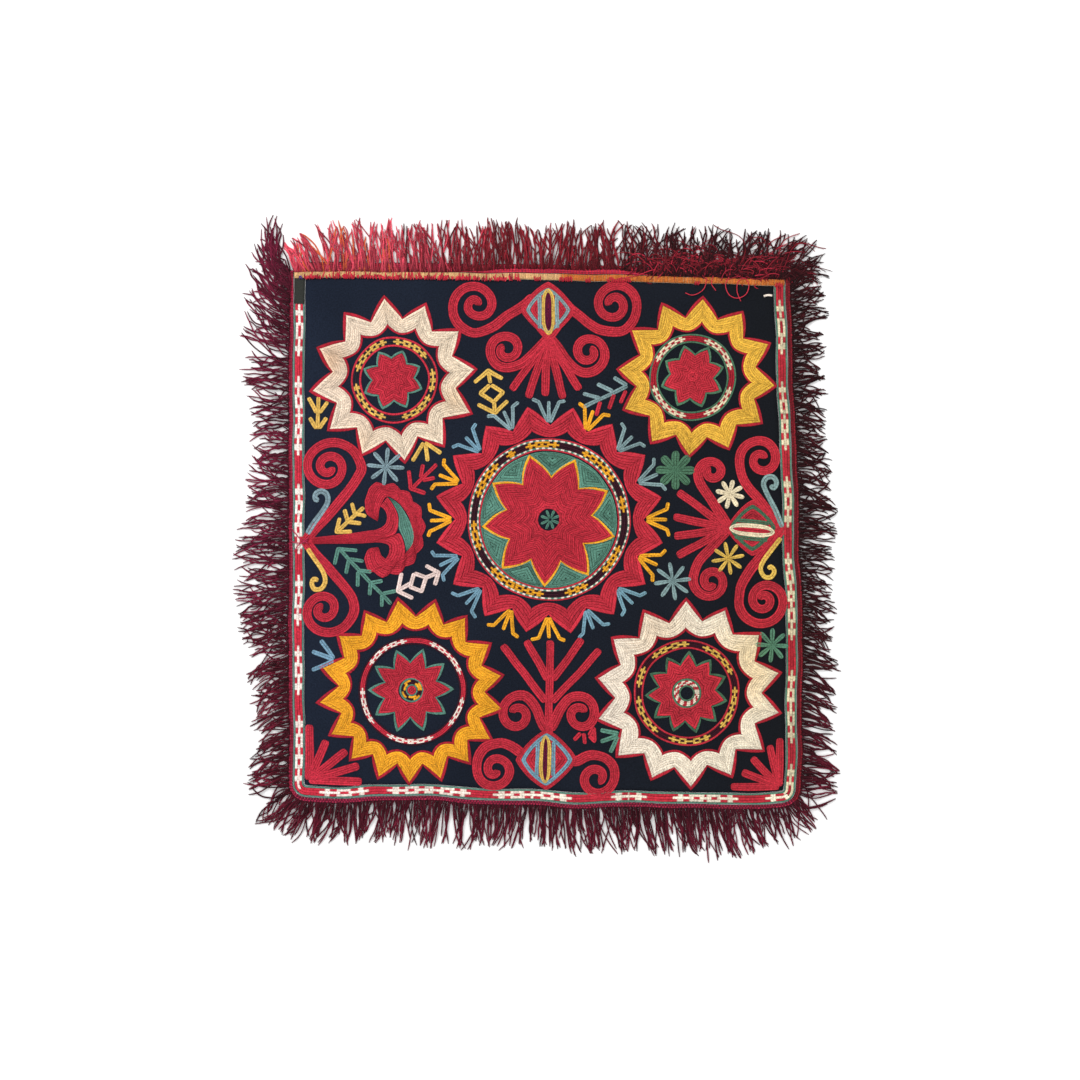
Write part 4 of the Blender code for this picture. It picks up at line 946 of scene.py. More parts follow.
def ground_cloth():
    """A closed thin sheet: the woven face, an underside near the floor, and the edge between
    them, all from one grid whose columns run over the face, round the edge and back below."""
    left, right, top, foot = cloth_edges()
    wide, deep = shares(top)[1], shares(left)[1]
    u = np.linspace(0, 1, int(wide / GRID_STEP) + 1)
    v = np.linspace(0, 1, int(deep / GRID_STEP) + 1)
    work = Work("ground_cloth_sheet")
    gu, gv = np.meshgrid(u, v, indexing="ij")
    x, y = patch(left, right, top, foot, gu, gv)
    fade = np.clip((x - FADE_FROM) / FADE_OVER, 0, 1)[..., None]
    dyes = NAVY + (BLACK - NAVY) * fade
    face = place(x, y, lie(x, y) + pucker(x, y))
    under = place(x, y, np.full(x.shape, UNDERSIDE))
    uv = np.stack([x, y], axis=-1)
    work.grid(face, dyes, uv)
    work.grid(under, dyes, uv, up=False)
    across, down = x.shape
    ring = np.concatenate([np.arange(across - 1), np.full(down - 1, across - 1),
                           np.arange(across - 1, 0, -1), np.zeros(down - 1, int)])
    rank = np.concatenate([np.zeros(across - 1, int), np.arange(down - 1),
                           np.full(across - 1, down - 1), np.arange(down - 1, 0, -1)])
    wall = np.stack([face[ring, rank], under[ring, rank]], axis=1)
    work.grid(wall, dyes[ring, rank][:, None, :], np.stack([uv[ring, rank]] * 2, axis=1),
              closed=True, up=False)
    return work, (wide * MM, deep * MM), wide * deep * MM * MM


print("the sheet's grid has a line every", GRID_STEP, "mm")

# %% [markdown]
# ## Wool finish
# Plain weave shows as two sets of fine ridges at right angles, which two wave textures make.
# Wool has hardly any shine. Lint lightens it in small flecks, and broad patches lighten and darken
# it: partly random tone, partly painted highlights of shallow folds.

# %% Wool


def wool_material():
    """Plain woven wool: the threads' two waves set the relief, and lint and broad patches the
    colour;
    the patches are partly random tone and partly painted highlights of shallow folds.
    """
    material, tree, shader = fresh_material("fulled_dark_wool", 0.95, 0.0)
    where = joined(tree, "ShaderNodeTexCoord").outputs["Object"]
    dye = joined(tree, "ShaderNodeAttribute", attribute_name="dye")
    # Broad patches: partly random tone, partly painted highlights of shallow folds.
    _, fade = noise_tone(tree, where, 9.0, 0.82, 1.2, 4.0)
    lint, fleck = noise_tone(tree, where, 700.0, 0.72, 1.35, 4.0)
    colour = toned(tree, toned(tree, dye.outputs["Color"], fade), fleck)
    tree.links.new(colour, shader.inputs["Base Color"])
    heights = []
    for direction in ("X", "Y"):
        wave = joined(tree, "ShaderNodeTexWave", bands_direction=direction,
                      **{"Scale": 340.0, "Distortion": 1.2, "Detail Scale": 1.5})
        tree.links.new(where, wave.inputs["Vector"])
        heights.append(wave.outputs["Fac"])
    height = maths(tree, "ADD", maths(tree, "ADD", *heights), lint.outputs["Fac"])
    raised(tree, shader, height, 0.5, 0.0003)
    return material


def welded(obj):
    """Merges points that lie on each other and turns every face outwards."""
    body = bmesh.new()
    body.from_mesh(obj.data)
    bmesh.ops.remove_doubles(body, verts=body.verts, dist=1e-6)
    bmesh.ops.recalc_face_normals(body, faces=body.faces)
    body.to_mesh(obj.data)
    body.free()
    return obj


cloth_work, cloth_flat, cloth_area = ground_cloth()
cloth = welded(cloth_work.finish(wool_material()))
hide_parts("ground_cloth")
print("cloth", [round(side * 1000) for side in cloth_flat], "mm")

# %% [markdown]
# ## Chequered rows
# Inside the rings and all along the border the middle rows change yarn every few stitches. Three
# lanes lie side by side. A group of light stitches starts with a single tip in the middle lane,
# widens to all three, leaves a dash of the ground colour in the side lanes, then one in the
# middle lane, and so on to its end, which mirrors its start. The drawing only says where each
# group starts and ends.

# %% Chequer
# A group from either end: millimetres to which a cell reaches, and its light lanes.
CELLS = ((5.0, (1,)), (10.0, (0, 1, 2)), (16.0, (1,)), (19.0, (0, 1, 2)), (25.0, (0, 2)),
         (28.5, (0, 1, 2)), (34.5, (1,)), (38.0, (0, 1, 2)), (44.0, (0, 2)), (49.0, (0, 1, 2)))


def is_light(lane, depth, scale):
    """Whether a lane is light at a depth into a group, in millimetres from its nearer end."""
    light = np.zeros(depth.shape, bool)
    start = 0.0
    for reach, lanes in CELLS:
        if lane in lanes:
            light |= (depth >= start * scale) & (depth < reach * scale)
        start = reach
    return light


def chequer(first_lane, light, ground, groups, at, scale):
    """A dye function for sew: rows from first_lane on are the three lanes. at turns the share
    and the millimetres along into the measure that the groups are given in, and how many
    millimetres one step of that measure is. scale is that of the cells."""
    def colour(row, s, spots):
        place_on, step = at(s, spots)
        depth = np.full(s.shape, -1.0)
        for a, b in groups:
            low, high = min(a, b), max(a, b)
            within = (place_on >= low) & (place_on <= high)
            nearest = np.minimum(place_on - low, high - place_on) * step
            depth = np.where(within, nearest, depth)
        lit = is_light(row - first_lane, depth, scale) & (depth >= 0)
        return np.where(lit[:, None], dyed(light), dyed(ground))
    return colour


def dashes(light, ground, length):
    """A dye function for sew: dashes of two dyes in turn, each of the given length."""
    def colour(row, s, spots):
        lit = (spots // length).astype(int) % 2 == 0
        return np.where(lit[:, None], dyed(light), dyed(ground))
    return colour


print("a group of 44 mm has", sum(1 for reach, _ in CELLS if reach < 22) * 2 + 1, "cells")

# %% [markdown]
# ## Pointed rings
# Five pointed rings carry the design: cream, mustard, gold and white in the corners and a red
# one in the middle. Their rows run round and round, following the zigzag outside and easing
# into the scallop inside. The corner rings have one red row as an outline on either side.

# %% Rings
RING_DYES = {"top_left": "cream", "top_right": "mustard", "bottom_left": "gold",
             "bottom_right": "white", "middle": "red"}
RING_EDGE = "deep_red"      # of the corner rings; the middle one is red throughout


def outlined(fill, edge, rows):
    """A dye function for sew: the first and last rows in the edge's dye, the rest in the fill,
    which is a dye's name or again a dye function."""
    def colour(row, s, spots):
        if row in (0, rows - 1):
            return dyed(edge)
        return dyed(fill) if isinstance(fill, str) else fill(row, s, spots)
    return colour


rings = {name: Work("medallion_" + name) for name in RINGS}
for name, (*shape, rows) in RINGS.items():
    dye = outlined(RING_DYES[name], "red" if name == "middle" else RING_EDGE, rows)
    sew(rings[name], ring_band(*shape), rows, dye, closed=True, corners=corners_of(shape[2]))
print("sewn:", ", ".join(rings))

# %% [markdown]
# ## Round bands
# Inside each ring lies a round band of thin rows, chequered in the middle. The groups below
# give, in degrees, where each run of light stitches starts and ends on the band. The middle
# ring's band is wider, with a dashed row on either side of its lanes.

# %% Round bands
# Round bands: x, y, outer and inner radius, edge dye, ground dye, light dye, light groups.
ROUND_BANDS = {
    "top_left": (394.8, 380, 43.4, 33.2, "red", "night", "straw",
                 ((102, 168), (35, 92), (-19, 17), (-79, -23), (-174, -104))),
    "top_right": (692.5, 377.3, 43.8, 34.4, "leaf_green", "deep_red", "cream",
                  ((101, 158), (11, 73), (-74, -16), (-168, -100))),
    "bottom_left": (412.8, 690.8, 54.2, 46.4, "maroon", "red", "white",
                    ((96, 149), (19, 70), (-44, -7), (-120, -65), (-183, -140))),
    "bottom_right": (686.4, 692.7, 53.2, 43.8, "red", "maroon", "straw",
                     ((87, 134), (22, 70), (-46, 7), (-111, -61), (-175, -126), (148, 174))),
}
MIDDLE_GROUPS = ((30, 64), (6, 18), (-44, -20), (-78, -59), (-141, -94), (-179, -156),
                 (132, 163), (116, 124), (82, 108))
MIDDLE_BAND = (549.0, 519.5)
ROUND_SCALE = 0.62          # of the chequer's cells


def round_place(radius):
    """The measure of a round band: degrees from -180 to 180, with the millimetres in one."""
    return lambda s, spots: ((s * 360.0 + 180.0) % 360.0 - 180.0, math.radians(radius))


def wrapped(groups):
    """The groups, and each that runs past -180 degrees once more a full turn on."""
    return tuple(groups) + tuple((a + 360, b + 360) for a, b in groups if a < -180)


for name, (x, y, outer, inner, edge, ground, light, groups) in ROUND_BANDS.items():
    measure = round_place((outer + inner) / 2)
    lanes = chequer(1, light, ground, wrapped(groups), measure, ROUND_SCALE)
    sew(rings[name], round_band(x, y, outer, inner), 5, outlined(lanes, edge, 5), closed=True,
        stitch=3.0)

# The middle band's rows from outside in: outer and inner radius, rows, dye.
dashed = dashes("white", "sea_green", 3.2)
middle_lanes = chequer(0, "gold", "maroon", MIDDLE_GROUPS, round_place(75.0), ROUND_SCALE)
for outer, inner, rows, dye in ((81.5, 80.0, 1, "red"), (80.0, 78.2, 1, dashed),
                                (78.2, 72.0, 3, middle_lanes), (72.0, 70.2, 1, dashed),
                                (70.2, 68.6, 1, "red")):
    sew(rings["middle"], round_band(*MIDDLE_BAND, outer, inner), rows, dye, closed=True,
        stitch=3.0)
print("round bands sewn")

# %% [markdown]
# ## Stars
# A star's rows run round it and soften from a zigzag into the circle of its hub. Green fills
# close the gaps between the middle star's tips: their rows follow a gap's own outline and shrink
# to a point. They are sewn first, so that the star's outline lies over their edges.

# %% Fills and stars
x, y, points, tip, valley, first = STARS["middle"][:6]
WEDGE_RADIUS = 68.2
WEDGE_HEART = 0.72          # share of the way from a valley to the band where the rows meet
WEDGE_FULL = 0.96           # share of the way to that point which the rows cover


def wedge_band(k):
    """From the outline of the gap beyond valley k, two straight sides and an arc, to its heart."""
    start, stop = (math.radians(first + 360.0 / points * turn) for turn in (k, k + 1))
    half = (start + stop) / 2
    arc = np.linspace(stop, start, 9)
    radius = np.array([tip, valley, tip, *[WEDGE_RADIUS] * len(arc), tip])
    angle = np.array([start, half, stop, *arc, start])
    outline = np.stack([radius * np.cos(angle), radius * np.sin(angle)], axis=1)
    middle = (1 - WEDGE_HEART) * valley + WEDGE_HEART * WEDGE_RADIUS
    hx, hy = middle * math.cos(half), middle * math.sin(half)
    on = follow(outline)

    def band(s, v):
        ox, oy = on(s)
        v = v * WEDGE_FULL
        return x + ox + (hx - ox) * v, y - oy - (hy - oy) * v
    return band, shares(outline)[0][[0, 1, 2, -2, -1]]


for k in range(points):
    band, turns = wedge_band(k)
    sew(rings["middle"], band, 5, "sea_green", closed=True, corners=turns, tone=0.12)

STAR_EDGES = {"top_left": "sea_green", "top_right": "leaf_green", "bottom_left": "sea_green",
              "bottom_right": "leaf_green", "middle": "gold"}
for name, (*shape, rows, hub) in STARS.items():
    def star_dye(row, s, spots, edge=STAR_EDGES[name]):
        """The outline's dye for the first row, and red for the rest."""
        return dyed(edge if row == 0 else "red")

    sew(rings[name], star_band(*shape, hub), rows, star_dye, closed=True, lift=0.2,
        corners=corners_of(shape[2]))
print("stars sewn")

# %% [markdown]
# ## Hubs
# Two of the stars end in a hub of their own, a ring of dashes between green rows. The middle
# star holds a small flower of eight petals, made like the rays of the small stars outside.

# %% Hubs
# Hubs: x, y, then each ring of rows as outer radius, inner radius, rows and dye.
HUBS = {
    "bottom_left": (411.5, 689.7, ((12.2, 10.2, 1, "sea_green"),
                                   (10.2, 5.9, 2, dashes("gold", "maroon", 7.4)),
                                   (5.9, 4.3, 1, "sea_green"), (4.3, 0.4, 2, "red"))),
    "bottom_right": (686.5, 693, ((15, 13, 1, "leaf_green"),
                                    (13, 8.2, 3, dashes("white", "red", 3.6)),
                                    (8.2, 6.4, 1, "leaf_green"))),
}
for name, (x, y, parts) in HUBS.items():
    for outer, inner, rows, dye in parts:
        sew(rings[name], round_band(x, y, outer, inner), rows, dye, closed=True, stitch=2.6)


def petal_band(x, y, angle, start, reach, wide):
    """A petal from near a star's middle: its half width grows as sin(pi s / 1.5) up to three
    quarters of the way and then falls like a circle, sqrt(1 - t^2), to a rounded tip."""
    out = np.array([math.cos(math.radians(angle)), -math.sin(math.radians(angle))])
    side = np.array([out[1], -out[0]])

    def band(s, v):
        grown = 0.35 + 0.65 * np.sin(np.pi * np.minimum(s, 0.75) / 1.5)
        tip = np.clip((s - 0.75) / 0.25, 0, 1)
        half = 0.5 * wide * grown * np.sqrt(1 - 0.9 * tip ** 2) * (2 * v - 1)
        along = start + (reach - start) * s
        return x + out[0] * along + side[0] * half, y + out[1] * along + side[1] * half
    return band


def star_ray(work, x, y, angle, reach, wide, dye, lift=0.0, start=0.0):
    """One ray of a small star, two rows wide or three."""
    sew(work, petal_band(x, y, angle, start, reach, wide), 2 if wide < 6 else 3, dye, lift=lift,
        stitch=2.8)


for ray in range(8):
    star_ray(rings["middle"], 550.0, 520.0, 22.5 + 45 * ray, 10.0, 3.0, "sea_green", 0.05, 1.2)
print("hubs sewn")

# %% [markdown]
# ## Scrolls, fans and stems
# The red scrolls, the fans of fingers and the tree at the foot are stems: a middle line with a
# width. Their rows run along the line and end round. Where stems grow out of one root they lie
# partly on each other, as the sewn ones do, so each is lifted a little above the one before.

# %% Red stems
scrolls, fans = Work("red_scrolls"), Work("red_fans_and_tree")
LAYER = 0.03                # lift of each stem above the one before
for k, (stem, middle, first, sense, radii) in enumerate(SCROLLS):
    line = smooth(np.vstack([stem, spiral(middle, first, sense, radii)]), 1.5)
    sew(scrolls, stem_band(line, SCROLL_WIDE, SCROLL_WIDE * 0.84, 0.45), 5, "red",
        lift=LAYER * (k % 3))
for root, wide, tips in FANS:
    for k, tip in enumerate(tips):
        line = smooth((root, tip), 2.0)
        sew(fans, stem_band(line, wide, blunt=0.4), 4, "red", lift=LAYER * k)
for k, ends in enumerate(TREE):
    sew(fans, stem_band(smooth(ends, 2.0), TREE_WIDE, blunt=0.45), 4, "red", lift=LAYER * k)
print("stems sewn")

# %% [markdown]
# ## Horned figure
# On the left a figure like a ram's horns holds a green crescent. Its back is a row of lobes, and
# its two ends curl in beside the stalk. Each part is a band between two lines of a few points.

# %% Horns
horns = Work("horned_figure")


def horn_back():
    """The outer line: a hook's tip, lobes on an oval, and the other hook's tip. With f the share
    of the way over a lobe, its reach is 0.96 + 0.09 (1 - |2 f - 1|)^0.8 of the oval's, which
    makes bulging sides, a pointed top and sharp notches."""
    share = np.linspace(0, 1, 10 * HORN_LOBES + 1)
    teeth = np.radians(112.0 - 216.0 * share)
    reach = 0.96 + 0.09 * (1 - np.abs(2 * (HORN_LOBES * share % 1.0) - 1)) ** 0.8
    oval = np.stack([HORN_MIDDLE[0] + HORN_REACH[0] * reach * np.cos(teeth),
                     HORN_MIDDLE[1] - HORN_REACH[1] * reach * np.sin(teeth)], axis=1)
    upper, lower = (smooth(tip, 1.5) for tip in HORN_TIPS)
    shoulder = smooth((HORN_TIPS[0][-1], (369.0, 489.5), oval[0]), 1.5)
    foot = smooth((oval[-1], (368.0, 571.0), HORN_TIPS[1][0]), 1.5)
    return np.vstack([upper, shoulder[1:-1], oval, foot[1:-1], lower])


horn_band = ruled_band(follow(horn_back()), follow(smooth(HORN_INSIDE, 1.5)))
sew(horns, horn_band, 10, "red", tone=0.08)
sew(horns, between(*CRESCENT), 6, "sea_green", tone=0.1)
for outer_line, inner_line in STALK:
    sew(horns, between(outer_line, inner_line), 6, "red", lift=0.04)
print("horns sewn")

# %% [markdown]
# ## Diamonds
# Three rounded diamonds hold an almond between two stripes. From outside in there is a broad
# red edge, a blue or green outline, red corners and, laid over them, the stripes and the almond.

# %% Diamonds
diamonds = Work("diamonds")
STRIPE_WIDE = 4.1
OUTLINE_SHARE = 0.82        # of the outline's reach, left inside its two rows


def almond_band(x, y, outer, inner, angle):
    """Between two nested almonds, each given by half length and half width. At the share c of
    its half length from the middle, an almond's half width falls off as (1 - |c|^3) ^ 0.6."""
    across, up = math.cos(math.radians(angle)), math.sin(math.radians(angle))

    def band(s, v):
        c, n = np.cos(2 * np.pi * s), np.sin(2 * np.pi * s)
        u = (outer[0] + (inner[0] - outer[0]) * v) * c
        w = (outer[1] + (inner[1] - outer[1]) * v) * np.sign(n) * (1 - np.abs(c) ** 3) ** 0.6
        return x + u * across + w * up, y - u * up + w * across
    return band


def sewn_diamond(x, y, edge, line, almond, core, angle, line_dye, almond_dye, core_dye):
    """One diamond, its layers lifted in the order in which they were sewn. The red edge runs to
    the outline, whose reaches need not keep one ratio to its own."""
    red_edge, inner_edge = diamond_band(x, y, *edge, 1.0), diamond_band(x, y, *line, 1.0)
    edge_band = ruled_band(lambda s: red_edge(s, 0.0), lambda s: inner_edge(s, 0.0))
    sew(diamonds, edge_band, 3, "red", closed=True, lift=0.10, tone=0.1)
    sew(diamonds, diamond_band(x, y, *line, OUTLINE_SHARE), 2, line_dye, closed=True, lift=0.5)
    heart = tuple(reach * OUTLINE_SHARE for reach in line)
    sew(diamonds, diamond_band(x, y, *heart, 0.05), 7, "red", closed=True, lift=0.08, tone=0.12)
    way = np.array([math.cos(math.radians(angle)), -math.sin(math.radians(angle))])
    side = np.array([way[1], -way[0]])
    for sign in (-1, 1):
        middle = np.array(almond[:2]) + side * sign * (almond[3] + 0.48 * STRIPE_WIDE)
        stripe = middle + way * np.linspace(-0.72, 0.72, 19)[:, None] * almond[2]
        sew(diamonds, stem_band(stripe, STRIPE_WIDE), 2, line_dye, lift=0.62)
    sew(diamonds, almond_band(*almond[:2], almond[2:], core, angle), 2, almond_dye, closed=True,
        corners=(0.0, 0.5, 1.0), lift=0.85)
    sew(diamonds, almond_band(*almond[:2], core, (core[0] * 0.75, 0.2), angle),
        2 if core[1] > 3 else 1, core_dye, closed=True, corners=(0.0, 0.5, 1.0), lift=0.9)


for row in DIAMONDS:
    sewn_diamond(*row)
print("diamonds sewn")

# %% [markdown]
# ## Sprigs, twigs and small stars
# The gaps are filled with small things two rows wide: a three-fingered sprig in each valley of
# the middle ring, twigs and feathers, hooks, lozenges, and stars of eight rays. A sprig's outer
# fingers end in a short foot that turns outwards.

# %% Small figures
small = Work("sprigs_twigs_and_stars")
# A sprig's fingers: millimetres to the side and outwards for each point past the root.
SPRIG_TIPS = (((-10.4, 20.6), (-17.2, 22.4)), ((0.0, 21.0),), ((10.4, 20.6), (17.2, 22.4)))


def bent_line(points):
    """A line with sharp bends: straight stretches of six steps between the given points."""
    given = np.array(points, float)
    knots = [np.linspace(a, b, 7)[:-1] for a, b in zip(given, given[1:])]
    return smooth(np.vstack([*knots, given[-1:]]), 1.2)


for k, dye in enumerate(SPRIG_DYES):
    angle = math.radians(90.0 - k * 360.0 / len(SPRIG_DYES))
    out = np.array([math.cos(angle), -math.sin(angle)])
    side = np.array([math.sin(angle), math.cos(angle)])
    foot = np.array(STARS["middle"][:2]) + out * SPRIG_FOOT
    for spread in SPRIG_TIPS:
        bent = [foot + side * spread[0][0] * 0.1]
        for across, reach in spread:
            wander = random.uniform(-0.7, 0.7, 2)
            bent.append(foot + out * reach + side * across + wander)
        sew(small, stem_band(bent_line(bent), SPRIG_WIDE, blunt=0.5), 2, dye, stitch=3.1,
            lift=0.05)
for x, y, rays, reach, first, wide, dye in SMALL_STARS:
    for ray in range(rays):
        star_ray(small, x, y, first + 360.0 / rays * ray, reach, wide, dye, 0.04 * ray)
for dye, wide, strokes in TWIGS:
    for k, stroke in enumerate(strokes):
        hook = len(stroke) > 6
        line = smooth(stroke, 1.2) if hook else bent_line(stroke)
        sew(small, stem_band(line, wide, blunt=0.5), 2, dye, stitch=3.1,
            lift=0.5 if hook else 0.04 * k)
print("small figures sewn")

# %% [markdown]
# ## Strips beside a seam
# The border, the binding and the fringe's headings are all tapes sewn along a seam. One band
# function lays a strip beside a line at a given distance, and another closes it into a tape.

# %% Strips beside a seam


def side_band(line, away, near, far):
    """Beside a line: v = 0 lies near millimetres away from it and v = 1 far millimetres."""
    share, _ = shares(line)

    def band(s, v):
        reach = near + (far - near) * v
        return tuple(np.interp(s, share, line[:, k]) + np.interp(s, share, away[:, k]) * reach
                     for k in (0, 1))
    return band


def cut_band(band, start, stop):
    """The stretch of a band between two shares along it."""
    return lambda s, v: band(start + (stop - start) * s, v)


TAPE_MAP = (400.0, 4.0)     # millimetres that a tape's map has along and across


def tape(work, band, tops, dye, count):
    """A closed strip under the stitches, with count stations: its top's heights at even shares
    across, its flat foot, and a flat cap at both ends."""
    fine = np.linspace(0, 1, 1201)
    run = np.hypot(*np.diff(np.stack(band(fine, np.zeros(1201))), axis=1))
    run += np.hypot(*np.diff(np.stack(band(fine, np.ones(1201))), axis=1))
    run = np.concatenate([[0.0], np.cumsum(run)])
    s = np.interp(np.linspace(0, run[-1], count), run, fine)[:, None]
    across = np.linspace(0, 1, len(tops))
    around = np.concatenate([across, [1.0, 0.0]])
    high = np.concatenate([tops, [UNDERSIDE, UNDERSIDE]])
    s, v = np.broadcast_arrays(s, around[None, :])
    x, y = band(s, v)
    points = place(x, y, np.broadcast_to(high, x.shape))
    dyes = np.broadcast_to(dyed(dye), points.shape)
    uv = np.stack([s * TAPE_MAP[0], v * TAPE_MAP[1]], axis=-1)
    work.tubes(points[None], dyes[None], uv[None])


print("strips follow", round(shares(seam)[1]), "mm of seam")

# %% [markdown]
# ## Border
# A strip edges the cloth on three sides: a green row, three chequered lanes and another green
# row, all on a closed tape. The light stitches are white on the left and at the foot and cream
# on the right. The tape's rows start at the cloth's seam and end at the fringe's heading.

# %% Border
SIDES = {
    # name: stations of the seam line, running left down, foot to the right, right up
    "left": (0, left_corner),
    "bottom": (left_corner, right_corner),
    "right": (right_corner, len(seam) - 1),
}
BORDER_NEAR = PART_GAP / 2
BORDER_FAR = BORDER_NEAR + BORDER_WIDE
BARE = 34.0                 # unstitched stretch at the head of the left border
BORDER_SCALE = 1.1          # of the chequer's cells
# Light groups of each side: the side's light dye, which coordinate they are read on, and from
# where to where each group runs.
BORDER_GROUPS = {
    "left": ("white", 1, ((305, 357), (376.6, 455), (483, 554), (575, 625), (645, 694),
                          (716, 786))),
    "bottom": ("white", 0, ((320, 369), (387.6, 472), (493.5, 572), (610.6, 647), (672.6, 738.5),
                            (765, 812))),
    "right": ("cream", 1, ((764, 812), (670, 743), (553, 640), (476, 527), (382, 451),
                           (300.6, 354.8))),
}


def side_parts(name):
    """A side's stretch of the seam line and its normals."""
    start, stop = SIDES[name]
    return seam[start:stop + 1], seam_away[start:stop + 1]


borders = {}
for name, (light, axis, groups) in BORDER_GROUPS.items():
    line, away = side_parts(name)
    work = Work("stitched_border_" + name)
    on = follow(line)
    first = BARE / shares(line)[1] if name == "left" else 0.0

    def seen(s, spots, on=on, axis=axis, first=first):
        """The drawing's coordinate that this side's groups are read on."""
        return on(first + (1 - first) * s)[axis], 1.0

    lanes = chequer(0, light, "red", groups, seen, BORDER_SCALE)
    band = side_band(line, away, BORDER_FAR - 0.3, BORDER_NEAR + 0.3)
    tape(work, band, (1.1, 1.2, 1.2, 1.2, 1.1), "olive", 120)
    stitched = cut_band(band, first, 1.0)
    for rows, part, dye in ((1, (0.0, 0.14), "sea_green"), (3, (0.14, 0.86), lanes),
                            (1, (0.86, 1.0), "sea_green")):
        sew(work, stitched, rows, dye, part=part, lift=-0.25, tone=0.09)
    borders[name] = work
print("border sewn on", ", ".join(borders))

# %% [markdown]
# ## Top binding
# The upper edge is bound with a tape, tan on the left and orange on the right. Red thread is
# whipped over its lower edge in close slanting stitches, which thin out to a few tufts.

# %% Binding
BINDING_TURN = 560.0        # where tan turns to orange
WHIP_END = 522.0            # where the close whipping ends
THREAD_RADIUS = 0.7         # of the satin and of the whipping
SATIN_STEP = 1.25           # from one turn of the satin to the next
top_away = np.tile((0.0, -1.0), (len(top_seam), 1))
binding = Work("top_binding_tape")


def binding_dye(s):
    """Tan up to the turn and orange beyond it, blended over a few millimetres."""
    x = follow(top_seam)(s)[0]
    share = np.clip((x - BINDING_TURN) / 4.0 + 0.5, 0, 1)[:, None]
    return dyed("tan") * (1 - share) + dyed("orange") * share


bound = side_band(top_seam, top_away, PART_GAP / 2, PART_GAP / 2 + BINDING_WIDE)
tape(binding, bound, (1.3, 2.0, 2.2, 2.0, 1.3), "tan", 120)
satin = np.arange(0.0, shares(top_seam)[1], SATIN_STEP)
satin = (satin + random.uniform(-0.3, 0.3, len(satin)))[:, None] / shares(top_seam)[1]
over = np.linspace(0.03, 0.97, 6)[None, :]
slant = np.clip(satin, 0, 1) + 0.0008 * np.sin(3 * satin * over)
x, y = bound(*np.broadcast_arrays(slant, over))
arch = 1.6 + 0.7 * np.sin(np.pi * np.broadcast_to(over, x.shape)) ** 0.6
wound = np.stack([x, y, arch], axis=-1)
tint = binding_dye(np.clip(satin[:, 0], 0, 1)) * random.uniform(0.75, 1.2, (len(satin), 1))
strands(binding, wound, even_radius(wound, THREAD_RADIUS), tint[:, None, :], sides=4)


def whipped(x, dye, lean, reach):
    """One whipping stitch over the binding's lower edge: a short tube that runs straight as
    seen from above and arches as sin(pi t) ^ 0.7."""
    t = np.linspace(0, 1, 7)
    y = np.interp(x, top_seam[:, 0], top_seam[:, 1]) - (reach[0] + (reach[1] - reach[0]) * t)
    line = np.stack([x + lean * (t - 0.5), y, 2.0 + 1.1 * np.sin(np.pi * t) ** 0.7], axis=1)
    strands(binding, line[None], even_radius(line[None], THREAD_RADIUS), dyed(dye)[None, None])


whip_at = 300.0
while whip_at < WHIP_END:
    up = random.choice((2.4, 3.8, 5.8), p=(0.45, 0.3, 0.25))
    dye = "violet" if whip_at < 304 else random.choice(("red", "deep_red", "ruby"))
    whipped(whip_at, dye, random.uniform(-2.0, 2.0), (random.uniform(-1.4, -0.2), up))
    whip_at += random.choice((1.1, 1.6, 3.2), p=(0.6, 0.27, 0.13))
WHIP_TUFTS = ((535, 541), (560, 573), (586, 590), (607, 631), (695, 699),
              (776, 782))
for start, stop in WHIP_TUFTS:
    for at in np.arange(start, stop, 1.9):
        whipped(at, "deep_red", random.uniform(-2.0, 2.0), (-0.9, random.uniform(1.8, 4.6)))
print("binding whipped")

# %% [markdown]
# ## Fringe
# All four sides end in a fringe of fine twisted yarn, drawn through a narrow heading of crimson
# chain rows. After years of use the strands have gathered into bunches whose tips meet, and
# many cross into the next bunch. So tips are placed first, bunch by bunch, and each strand is a
# curve from its root to a tip: (1 - t)^2 root + 2 t (1 - t) knee + t^2 tip, with a sway added.
# The tables give the mean length and the lean at shares along each side.

# %% Fringe tables
# Mean length in millimetres at shares along a side; left runs down, foot and top run right, and
# right runs up.
LONG = {
    "left": ((0, 52), (0.06, 46), (0.1, 44), (0.2, 46), (0.28, 36), (0.34, 32), (0.47, 45),
             (0.57, 49), (0.63, 44), (0.7, 38), (0.77, 41), (0.86, 33), (0.93, 34), (1, 44)),
    "bottom": ((0, 44), (0.1, 39), (0.3, 43), (0.45, 38), (0.65, 44), (0.85, 46), (1, 34)),
    "right": ((0, 30), (0.1, 36), (0.25, 33), (0.4, 29), (0.52, 34), (0.7, 30), (0.85, 29),
              (1, 34)),
    "top": ((0, 27), (0.04, 28), (0.08, 38), (0.3, 38), (0.6, 39), (0.85, 39), (1, 40)),
}
# Lean in degrees towards the side's end.
LEAN = {
    "left": ((0, -80), (0.03, -64), (0.07, -44), (0.14, -24), (0.2, -4), (0.4, 0), (0.62, 10),
             (0.75, 20), (0.92, 22), (1, 8)),
    "bottom": ((0, -12), (0.06, -26), (0.15, -15), (0.3, -4), (0.5, 0), (0.7, 11), (0.86, 17),
               (0.95, 20), (1, 8)),
    "right": ((0, -8), (0.1, -20), (0.35, -19), (0.5, -8), (0.7, -12), (0.88, 0), (0.95, 22),
              (1, 40)),
    "top": ((0, -48), (0.05, -34), (0.09, -10), (0.5, 0), (0.85, 8), (0.94, 24), (1, 60)),
}
